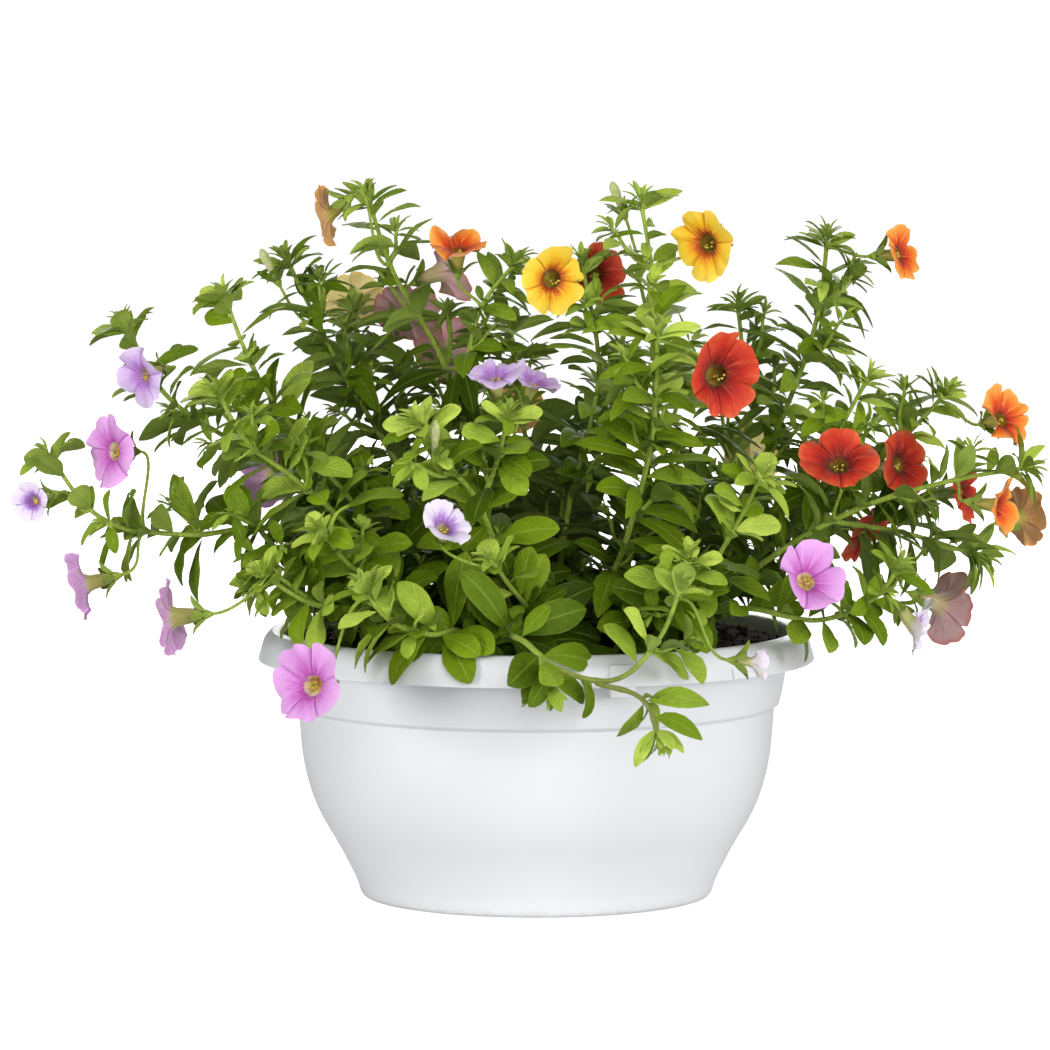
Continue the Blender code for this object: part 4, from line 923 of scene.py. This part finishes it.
def further_leaves(shoot, heap, lines):
    """The smaller leaves that fill the stem between the stations, at its foot, in the axils and at its tip."""
    draws = random.Random(shoot.number + 400)
    last = len(shoot.distances) - 1
    slim = shoot.kind is SLIM
    spots = [(13 + 3.6 * k, 1.5 - 0.04 * k, 74) for k in range(6)] if shoot.from_soil else []
    for station, (start, end) in enumerate(zip(shoot.distances, shoot.distances[1:])):
        for part, further, size, fall, pitch in GAP_LEAVES if slim else GAP_LEAVES[:-2]:
            spots.append((start + (end - start) * part + further, size - fall * station / last, pitch))
    angle = shoot.first_turn
    fullness = FULLNESS.get(shoot.name, 0.85)
    for distance, size, pitch in spots:
        if draws.random() > fullness + 0.1:
            continue
        for _ in range(5):
            angle += SPIRAL
            length = shoot.leaf * size * draws.uniform(0.66, 1.04)
            leaf = Blade(*shoot.beside(distance, angle), length, varied(fuller(shoot.kind), draws),
                         pitch + draws.uniform(-12, 12), draws.uniform(-15, 15))
            if clear(leaf):
                grow_leaf(heap, leaf, distance / shoot.route.length * 0.8, draws.random())
                break
    for station in range(last):
        for _ in range(2 if slim and station else 1):
            if draws.random() < fullness:
                side_shoot(shoot, station, heap, lines, draws)
    place, way, side = shoot.route.at(shoot.route.length - TIP_LENGTH)
    size = shoot.leaf * (0.56 if place.z > 105 else 0.42)
    rosette(heap, lines, place, way, side, TIP_LENGTH, size, 14, shoot.kind, draws, 0.62)


def stem_line(shoot, lines):
    """The stem itself, a little thicker at each station."""
    count = max(8, round(shoot.route.length / 3.2))
    points, radii = [], []
    for step in range(count + 1):
        distance = shoot.route.length * step / count
        joint = min(abs(distance - station) for station in shoot.distances)
        knot = 1 + 0.22 * math.exp(-((joint / 2.2) ** 2))
        points.append(shoot.route.at(distance)[0])
        radii.append(shoot.half(distance) * 0.7 * knot * (1 if step < count else 0.5))
    lines.add(points, radii)


def calyx_and_stalk(found, top, direction, bud, heap, lines, buds):
    """A thin bent stalk, the small green cup on it, and five narrow sepals, with a bud where one is closed."""
    shoot, station, face = found
    knots = stalk_knots(*shoot.out(station, face), top, direction)
    lines.add([curve_at(knots, k / 14) for k in range(15)], [STALK * (1.15 - 0.35 * min(1, k / 5)) for k in range(15)])
    cup = ((CALYX_DEEP + 1.2, 0.75), (CALYX_DEEP * 0.8, 1.6), (1, CALYX_HALF * 0.86), (0, CALYX_HALF * 0.9))
    lines.add([top - direction * down for down, _ in cup], [half for _, half in cup])
    first, second = across(direction)
    for k in range(5):
        angle = math.radians(72 * k + 36)
        spoke = first * math.cos(angle) + second * math.sin(angle)
        start = top - direction * 1.2 + spoke * CALYX_HALF * 0.7
        reach = top + spoke * SEPAL * 0.80 + direction * SEPAL * 0.86 - start
        sepal = Blade(start, direction, spoke, reach.length, (0.36, 0.75, 0.75, 0.2), 0, 0)
        sepal.along = reach.normalized()
        inward = spoke * -0.7 + direction * 0.7
        sepal.up = sepal.face = (inward - sepal.along * inward.dot(sepal.along)).normalized()
        bent_blade(heap, sepal, 0.7, 0.1 * k, wave=0.05, thick=0.25, pattern=small_pattern)
    if bud:
        shares = (0, 0.12, 0.3, 0.5, 0.66, 0.8, 0.9, 0.97, 1.0)
        sizes = (1.3, 1.5, 1.7, 1.9, 2.3, 2.2, 1.6, 0.8, 0.2)
        buds.add([top + direction * bud * share for share in shares], sizes)


def new_group(name, *outputs):
    """An empty node group fed by the flat UV place and the Object coordinates, and the sockets it gives."""
    tree = bpy.data.node_groups.new(name, "ShaderNodeTree")
    for socket in ("Flat", "Place"):
        tree.interface.new_socket(name=socket, in_out="INPUT", socket_type="NodeSocketVector")
    for socket in outputs:
        tree.interface.new_socket(name=socket, in_out="OUTPUT", socket_type="NodeSocketFloat")
    given = tree.nodes.new("NodeGroupInput").outputs
    return Value(given["Flat"]), Value(given["Place"]), tree.nodes.new("NodeGroupOutput").inputs


def marks_of(place, name):
    """What the named group gives, fed with the material's own coordinates."""
    inputs = {"Flat": new_node(place.tree, "UVMap", uv_map="flat"), "Place": place}
    group = new_node(place.tree, "Group", inputs, node_tree=bpy.data.node_groups[name])
    return [Value(output) for output in group.socket.node.outputs]


def attribute(place, name, output="Fac"):
    return new_node(place.tree, "Attribute", (), output, attribute_name=name)


def ramp_of(value, stops):
    """The value turned into a colour, through stops from 0 to 1."""
    ramp = new_node(value.tree, "ValToRGB", {0: value})
    colours = ramp.socket.node.color_ramp.elements
    colours[0].color, colours[1].color = (*stops[0][1], 1), (*stops[-1][1], 1)
    for at, colour in stops[1:-1]:
        colours.new(at).color = (*colour, 1)
    return ramp


flat, place, gives = new_group("leaf_veins", "Rib", "Veins", "Edge", "Clouds", "Quilt")
width, length, _ = flat.parts()
off = (width - 0.5).math("ABSOLUTE")
clouds = place.speckle(2.4, 4, 0.6)
slant = length * 8.0 - off.math("POWER", 0.8) * 4.5 + clouds * 0.7
wave = (slant.math("FRACT") - 0.5).math("ABSOLUTE")
give(gives, Rib=off.spread(0.055, 0.012), Veins=wave.spread(0.12, 0.0) * clouds.spread(0.3, 0.6, 0.3, 1),
     Edge=off.spread(0.44, 0.5), Clouds=clouds, Quilt=wave.spread(0.0, 0.4))


def leaf_finish(name, deep, full, young, pale):
    """Soft leaf: deep green when old, and darker deep in the bush as painted shade; yellow-green when young, a pale
    rib, fine side veins, a greyer underside.
    """
    material, shader, place = finish_of("leaf_" + name, Specular_IOR_Level=0.08)
    rib, veins, edge, clouds, quilt = marks_of(place, "leaf_veins")
    age_and_shade, chance, _ = attribute(place, "note", "Vector").parts()
    age_and_shade = age_and_shade + (chance - 0.5) * 0.5 + (clouds - 0.5) * 0.3
    colour = mixed(veins * 0.16, ramp_of(age_and_shade, ((0, deep), (0.5, full), (1, young))), [part * 0.8 for part in full])
    colour = mixed(edge * 0.15, mixed(rib * 0.26, colour, pale), pale)
    grey = mixed(veins * 0.25, mixed(0.5, colour, (0.30, 0.39, 0.10)), (0.19, 0.27, 0.05))
    dress(shader, mixed(attribute(place, "under"), colour, grey), clouds.spread(0.2, 0.8, 0.38, 0.54),
          rib * -0.3 + quilt * 0.28 + clouds * 0.8, 0.42, 0.9)
    return material


blades = {name: leaf_finish(name, *colours) for name, colours in {
    BRIGHT: ((0.046, 0.092, 0.002), (0.210, 0.325, 0.011), (0.590, 0.750, 0.115), (0.50, 0.62, 0.13)),
    MID: ((0.038, 0.076, 0.002), (0.168, 0.272, 0.011), (0.520, 0.680, 0.100), (0.42, 0.54, 0.10)),
    DEEP: ((0.028, 0.058, 0.002), (0.118, 0.205, 0.007), (0.400, 0.550, 0.070), (0.34, 0.45, 0.08)),
}.items()}

stem_skin, shader, place = finish_of("stem_skin", Specular_IOR_Level=0.3, Sheen_Weight=0.1, Sheen_Roughness=0.4)
streaks = new_node(place.tree, "Mapping", {0: place, 3: (1, 1, 0.25)}).speckle(1.2, 3)
green = mixed(streaks.spread(0.35, 0.65), (0.24, 0.34, 0.030), (0.37, 0.48, 0.07))
green = mixed(place.parts()[2].spread(0.124, 0.106, 0, 0.6), green, (0.14, 0.12, 0.05))
dress(shader, green, streaks.spread(0.3, 0.7, 0.5, 0.7), streaks, 0.25)

bud_skin, shader, place = finish_of("bud_skin", Specular_IOR_Level=0.3, Sheen_Weight=0.2)
cream = mixed(place.speckle(3, 3).spread(0.3, 0.7), (0.42, 0.50, 0.16), (0.66, 0.66, 0.36))
dress(shader, cream, place.speckle(1, 2).spread(0.3, 0.7, 0.5, 0.7), place.speckle(0.9, 3), 0.2)

for name in dict.fromkeys(shoot.name for shoot in shoots):
    own = [shoot for shoot in shoots if shoot.name == name]
    heap, lines, buds = Heap(), Lines("stem_lines"), Lines("bud_lines")
    for shoot in own:
        draws = random.Random(shoot.number + 900)
        stem_line(shoot, lines)
        for leaf, share in planned_leaves(shoot):
            free_space(leaf)
            leaf.low_power, leaf.high_power = fuller(shoot.kind)[1:3]
            leaf.width *= 1.1 if shoot.kind is BROAD else 1.0
            grow_leaf(heap, leaf, share, draws.random())
        further_leaves(shoot, heap, lines)
    for found, *rest in stalks:
        if found[0].name == name:
            calyx_and_stalk(found, *rest, heap, lines, buds)
    piece = heap.mesh("plant_" + name)
    piece.data.materials.append(blades[own[0].green])
    parts = [piece, lines.mesh(stem_skin)]
    if len(buds.curve.splines):
        parts.append(buds.mesh(bud_skin))
    else:
        bpy.data.objects.remove(buds.item)
    piece = joined(parts, 40)
    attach(piece, "root")
    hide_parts("stem_" + name)
    "leaf_green_" + own[0].green

# Blooms: one thin soft corolla each, a narrow funnel that opens to five broad joined lobes with waved
# rims. It grows out of its calyx, and small anthers stand in the throat.
PETAL_COLUMNS, PETAL_ROWS, LOBES = 70, 30, 5
PETAL_THICK, PETAL_FOOT, PETAL_NECK = 0.32, 0.43, 0.6  # the last two as shares of the way to the rim
THROAT = (  # radius and height as parts of the bloom's width, from the well to the rim
    (0.0, -0.25), (0.07, -0.23), (0.095, -0.13), (0.115, -0.06), (0.155, -0.015), (0.24, 0.014), (0.36, 0.035),
    (0.5, 0.04),
)


def held(value):
    return min(1, max(0, value))


def throat_at(share):
    """Radius and height at a share of the way from the well to the rim."""
    at = share * (len(THROAT) - 1)
    k = min(int(at), len(THROAT) - 2)
    return [low + (high - low) * (at - k) for low, high in zip(THROAT[k], THROAT[k + 1])]


def corolla(flower):
    """Bends a flat grid to the funnel and its lobes: the inner face, the rim, and the outer face down to the foot."""
    item = added("grid", x_subdivisions=PETAL_COLUMNS, y_subdivisions=PETAL_ROWS, size=2)
    item.name = item.data.name = flower.name.replace("bloom", "corolla")
    draws = random.Random(flower.number + 70)
    curl, ruffle, sway = draws.uniform(-0.02, 0.07), draws.uniform(0.02, 0.05), draws.uniform(0, 6)
    lobes = [(draws.uniform(-0.10, 0.10), draws.uniform(-0.12, 0.05)) for _ in range(LOBES)]
    small_white = flower.width < 28 and flower.colour == "white"
    shut = 0.62 if flower.width < 20 else 0.45 if small_white else draws.uniform(0, 0.22)
    w, tube = flower.width, flower.tube
    flats = {}
    rim = item.data.attributes.new("rim", "FLOAT", "POINT")
    for vertex in item.data.vertices:
        column, row = (vertex.co.x + 1) / 2, (vertex.co.y + 1)
        angle = math.tau * round(column * PETAL_COLUMNS) / PETAL_COLUMNS
        share = row if row <= 1 else 2 - row
        rim.data[vertex.index].value = share
        radius, height = throat_at(share)
        cleft = abs(2 * (column * LOBES % 1) - 1)  # 0 in the middle of a lobe, 1 where two meet
        crown, flare = 1 - cleft**2, max(0.0, (radius - 0.12) / 0.38)
        radius *= 1 - (0.15 * cleft**6 + 0.045 * math.exp(-((cleft / 0.2) ** 2))) * flare**2.5
        tilt, stretch = lobes[int(column * LOBES) % LOBES]
        spot = Vector((math.cos(angle), math.sin(angle), sway)) * 1.7
        lift = -curl * flare**2 * crown + ruffle * flare * crown + tilt * flare**1.5 * crown
        lift -= 0.045 * flare * cleft**7 + 0.03 * flare * cleft**16  # each lobe's sides fall to its clefts
        lift -= 0.016 * flare**0.6 * math.exp(-((cleft / 0.14) ** 2))
        lift += 0.13 * flare**1.6 * noise.noise(spot) + 0.03 * flare**3 * noise.noise(spot * 3.2)
        lift += shut * max(0.0, radius - 0.08)
        radius *= (1 - 0.2 * shut * flare) * (1 + stretch * flare * crown)
        depth = (height + lift) * w
        if row > 1:
            outer = PETAL_THICK * min(1, (row - 1) * 15)
            depth -= outer
            if share < PETAL_FOOT:
                down = 1 - share / PETAL_FOOT
                depth = min(depth, -outer - 0.07 * w) * (1 - down) - tube * down
                radius = 0.11 * (1 - down) ** 0.8 + (TUBE_ROOT / w) * (1 - (1 - down) ** 0.8) if share > 1e-4 else 0
            elif share < PETAL_NECK:
                radius += 0.01 * (PETAL_NECK - share) / (PETAL_NECK - PETAL_FOOT)
        uneven = angle + 0.13 * math.sin(angle * 2 + sway) + 0.07 * math.sin(angle * 3 + sway * 2)
        spoke = flower.first * math.cos(uneven) + flower.second * math.sin(uneven)
        turned = Quaternion().slerp(flower.mouth, held((radius - 0.06) / 0.1) * held((depth / w + 0.3) / 0.25))
        vertex.co = (flower.middle + turned @ (flower.way * depth + spoke * radius * w)) * MM
        flats[vertex.index] = (0.5 + math.cos(angle) * radius, 0.5 + math.sin(angle) * radius)
    uv = item.data.uv_layers[0]
    uv.name = "flat"
    for loop in item.data.loops:
        uv.data[loop.index].uv = flats[loop.vertex_index]
    outer = item.data.attributes.new("under", "FLOAT", "FACE")
    for face in item.data.polygons:
        outer.data[face.index].value = 1.0 if face.index // PETAL_COLUMNS >= PETAL_ROWS // 2 else 0.0
    bpy.ops.object.mode_set(mode="EDIT")
    bpy.ops.mesh.select_all(action="SELECT")
    bpy.ops.mesh.remove_doubles(threshold=0.000002)
    bpy.ops.mesh.normals_make_consistent(inside=False)
    bpy.ops.object.mode_set(mode="OBJECT")
    return item


def anthers(flower, stamen, stigma):
    """Four pollen sacs and the stigma, on thin threads in the throat."""
    w, way = flower.width, flower.way
    threads, centre = Lines("threads", 1), Lines("stigma", 1)
    draws = random.Random(flower.number + 7)
    for k in range(4):
        angle = math.radians(52 * k + draws.uniform(-14, 14))
        spoke = flower.first * math.cos(angle) + flower.second * math.sin(angle)
        deep = draws.uniform(0.05, 0.10)
        tip = flower.middle - way * w * deep + spoke * draws.uniform(0.035, 0.065) * w
        threads.add([tip - way * w * 0.2 - spoke * w * 0.01, tip - way * 0.6], [0.14, 0.14])
        threads.add([tip + way * along for along in (-0.8, -0.3, 0.3, 0.7)], [0.2, 0.62, 0.62, 0.15])
    end = flower.middle - way * w * 0.06 + flower.first * w * 0.02
    knob = [end + way * along for along in (-0.8, -0.3, 0.2, 0.4)]
    centre.add([flower.middle - way * w * 0.24, *knob], [0.2, 0.2, 0.5, 0.5, 0.2])
    return [threads.mesh(stamen), centre.mesh(stigma)]


flat, place, gives = new_group("petal_marks", "Reach", "Veins", "Clouds", "Streaks", "Folds")
centred = new_node(flat.tree, "VectorMath", {0: flat, 1: (0.5, 0.5, 0)}, operation="SUBTRACT")
reach = new_node(flat.tree, "VectorMath", {0: centred}, "Value", operation="LENGTH") * 2.0
x, y, _ = centred.parts()
angle = y.math("ARCTAN2", x)
clouds = place.speckle(3.0, 4, 0.6)
warp = (centred.speckle(200, 2) - 0.5) * 4.0


def ripple(turns):
    """How far each place is from the nearest of some lines that run out over the petals."""
    return turns.math("SINE").math("ABSOLUTE")


folds = (ripple(angle * 2.5) * reach).spread(0.085, 0.015) * reach.spread(0.98, 0.6, 0.15, 1)
main_veins = ripple(angle * 12.5 + warp).spread(0.38, 0.0) * reach.spread(0.85, 0.3, 0.12, 0.7)
fine_veins = ripple(angle * 27.5 + warp * 1.8).spread(0.34, 0.0) * reach.spread(0.3, 0.7, 0, 0.1)
ray = {0: angle.math("COSINE") * 2.6, 1: angle.math("SINE") * 2.6, 2: reach * 1.4}
ray = {"Vector": new_node(flat.tree, "CombineXYZ", ray), "Scale": 2.2, "Detail": 5.0, "Roughness": 0.6}
streaks = new_node(flat.tree, "TexNoise", ray, "Fac")
uneven = (angle * 5.0).math("COSINE") * 0.03 + (clouds - 0.5) * 0.08 + (streaks - 0.5) * 0.42
uneven = uneven * reach.spread(0.2, 0.45) - main_veins * 0.05
give(gives, Reach=reach + uneven, Veins=folds.math("MAXIMUM", main_veins.math("MAXIMUM", fine_veins)), Clouds=clouds,
     Streaks=streaks, Folds=folds)


def petal_finish(name, stops, vein, under, under_vein, tube):
    """Velvety petal: rings of colour from the eye to the rim, darker veins, and a duller underside."""
    material, shader, place = finish_of("petal_" + name, Specular_IOR_Level=0.25, Sheen_Weight=0.08,
                                        Sheen_Roughness=0.45)
    reach, veins, clouds, streaks, folds = marks_of(place, "petal_marks")
    upper = mixed(veins * 0.55, ramp_of(reach, stops), vein)
    upper = mixed(streaks.spread(0.5, 0.8, 0, 0.5), upper, stops[-1][1])
    upper = mixed(clouds.spread(0.45, 0.75, 0, 0.2), upper, stops[-2][1])
    faded = [0.5 * (own + cream) for own, cream in zip(under, (0.8, 0.72, 0.55))]
    lower = mixed(veins * 0.85, mixed(clouds.spread(0.42, 0.68, 0, 0.5), under, faded), under_vein)
    lower = mixed(streaks.spread(0.48, 0.72, 0, 0.4), lower, tube)
    lower = mixed(reach.spread(0.36, 0.22), lower, tube)
    lower = mixed(attribute(place, "rim").spread(0.90, 1.0, 0, 0.5), lower, upper)
    dress(shader, mixed(attribute(place, "under"), upper, lower), clouds.spread(0.25, 0.75, 0.5, 0.7),
          clouds * 0.3 + streaks * 1.6 - folds, 0.25)
    return material


# Petals: the colour at each share of the way to the rim, then the veins, the underside, its veins and the tube.
petals = {name: petal_finish(name, *colours) for name, colours in {
    "pink": (((0.0, (0.80, 0.60, 0.05)), (0.17, (0.95, 0.85, 0.28)), (0.21, (0.94, 0.86, 0.62)),
              (0.25, (0.46, 0.06, 0.38)), (0.38, (0.60, 0.16, 0.56)), (0.62, (0.74, 0.33, 0.74)),
              (1.0, (0.84, 0.47, 0.86))),
             (0.40, 0.05, 0.36), (0.62, 0.32, 0.64), (0.36, 0.12, 0.38), (0.44, 0.42, 0.12)),
    "lilac": (((0.0, (0.76, 0.58, 0.06)), (0.17, (0.90, 0.80, 0.30)), (0.23, (0.44, 0.20, 0.52)),
               (0.36, (0.48, 0.20, 0.66)), (0.55, (0.68, 0.46, 0.82)), (1.0, (0.82, 0.67, 0.91))),
              (0.38, 0.14, 0.52), (0.72, 0.55, 0.80), (0.46, 0.28, 0.54), (0.48, 0.46, 0.14)),
    "white": (((0.0, (0.76, 0.58, 0.06)), (0.17, (0.90, 0.80, 0.30)), (0.23, (0.30, 0.10, 0.42)),
               (0.35, (0.44, 0.22, 0.64)), (0.52, (0.84, 0.74, 0.91)), (1.0, (0.93, 0.88, 0.95))),
              (0.46, 0.26, 0.64), (0.86, 0.79, 0.83), (0.62, 0.50, 0.62), (0.66, 0.64, 0.26)),
    # Red, orange and yellow start with a dark stop at the bottom of the well: painted shade deep in the throat.
    "red": (((0.0, (0.09, 0.07, 0.006)), (0.19, (0.30, 0.24, 0.02)), (0.235, (0.10, 0.014, 0.004)),
             (0.32, (0.22, 0.006, 0.004)), (0.55, (0.52, 0.020, 0.008)), (0.80, (0.66, 0.060, 0.018)),
             (1.0, (0.76, 0.17, 0.06))),
            (0.20, 0.006, 0.005), (0.74, 0.42, 0.46), (0.44, 0.15, 0.19), (0.56, 0.44, 0.24)),
    "orange": (((0.0, (0.12, 0.09, 0.008)), (0.19, (0.38, 0.30, 0.02)), (0.235, (0.20, 0.02, 0.004)),
                (0.35, (0.56, 0.030, 0.005)), (0.51, (0.80, 0.10, 0.009)), (0.74, (0.90, 0.27, 0.03)),
                (1.0, (0.95, 0.47, 0.10))),
               (0.36, 0.03, 0.006), (0.64, 0.32, 0.12), (0.40, 0.13, 0.06), (0.46, 0.38, 0.08)),
    "yellow": (((0.0, (0.12, 0.10, 0.008)), (0.19, (0.36, 0.30, 0.02)), (0.235, (0.18, 0.03, 0.004)),
                (0.32, (0.52, 0.06, 0.005)), (0.46, (0.88, 0.36, 0.010)), (0.62, (0.97, 0.60, 0.025)),
                (1.0, (1.0, 0.74, 0.10))),
               (0.42, 0.10, 0.008), (0.80, 0.66, 0.26), (0.56, 0.42, 0.14), (0.50, 0.45, 0.12)),
}.items()}

pollen, shader, place = finish_of("pollen", Specular_IOR_Level=0.2)
dress(shader, mixed(place.speckle(0.6, 2), (0.66, 0.46, 0.03), (0.86, 0.72, 0.16)),
      place.speckle(0.4, 2).spread(0.3, 0.7, 0.7, 0.9), place.speckle(0.3, 2), 0.15)
stigma_green, shader, place = finish_of("stigma_green", Specular_IOR_Level=0.5)
dress(shader, mixed(place.speckle(0.8, 2), (0.22, 0.26, 0.03), (0.36, 0.38, 0.07)),
      place.speckle(0.5, 2).spread(0.3, 0.7, 0.25, 0.4), place.speckle(0.4, 2), 0.1)

for flower in flowers:
    piece = corolla(flower)
    piece.data.materials.append(petals[flower.colour])
    piece = joined([piece] + anthers(flower, pollen, stigma_green), 50)
    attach(piece, "root")
    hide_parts(flower.name)
    "petal_" + flower.colour

# Studio: a plain pale floor, a large soft light over the front, a small one low at each side, one behind
# for the back, and the camera at the photograph's angle.
floor = added("plane", size=80, location=(0, 0, -0.0005))
floor.name = "floor"
floor_white, shader, place = finish_of("floor_white", Roughness=0.9, Specular_IOR_Level=0.1,
                                       Emission_Color=(1, 1, 1, 1))
seen = new_node(place.tree, "LightPath", (), "Is Camera Ray")
give(shader.inputs, Emission_Strength=seen.spread(0, 1, 0.03, 1.0),
     Base_Color=mixed(place.speckle(4000, 2), (0.66, 0.66, 0.66), (0.68, 0.68, 0.68)))
floor.data.materials.append(floor_white)
floor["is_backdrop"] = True

for name, place, aim, size, power in (
    ("key", (0.5, -2.5, 1.2), (0, 0, 0.16), 2.6, 49),
    ("left", (-2.0, -1.3, 0.32), (0, 0, 0.13), 0.9, 28),
    ("right", (2.0, -1.2, 0.36), (0, 0, 0.13), 1.0, 23),
    ("rear", (0.2, 2.4, 1.3), (0, 0, 0.16), 2.2, 42),
):
    light = bpy.data.lights.new(name, "AREA")
    light.shape, light.size, light.energy = "DISK", size, power
    item = bpy.data.objects.new(name, light)
    bpy.context.scene.collection.objects.link(item)
    item.location = place
    item.rotation_euler = (Vector(aim) - Vector(place)).to_track_quat("-Z", "Y").to_euler()
world = bpy.data.worlds.new("studio")
bpy.context.scene.world = world
world.use_nodes = True
backdrop = world.node_tree.nodes["Background"].inputs
backdrop["Color"].default_value, backdrop["Strength"].default_value = (1, 1, 1, 1), 0.12
bpy.context.scene.view_settings.view_transform = "Standard"

lens = bpy.data.cameras.new("camera")
lens.lens, lens.sensor_width = 230.2, 36
camera = bpy.data.objects.new("camera", lens)
bpy.context.scene.collection.objects.link(camera)
camera.location = (-0.0051, -3.0, 0.432)
camera.rotation_euler = (math.pi / 2 - 0.0883, 0, 0)
bpy.context.scene.camera = camera

low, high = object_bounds()
{"cad": [list(cad_low), list(cad_high)], "visual": [list(low), list(high)]}
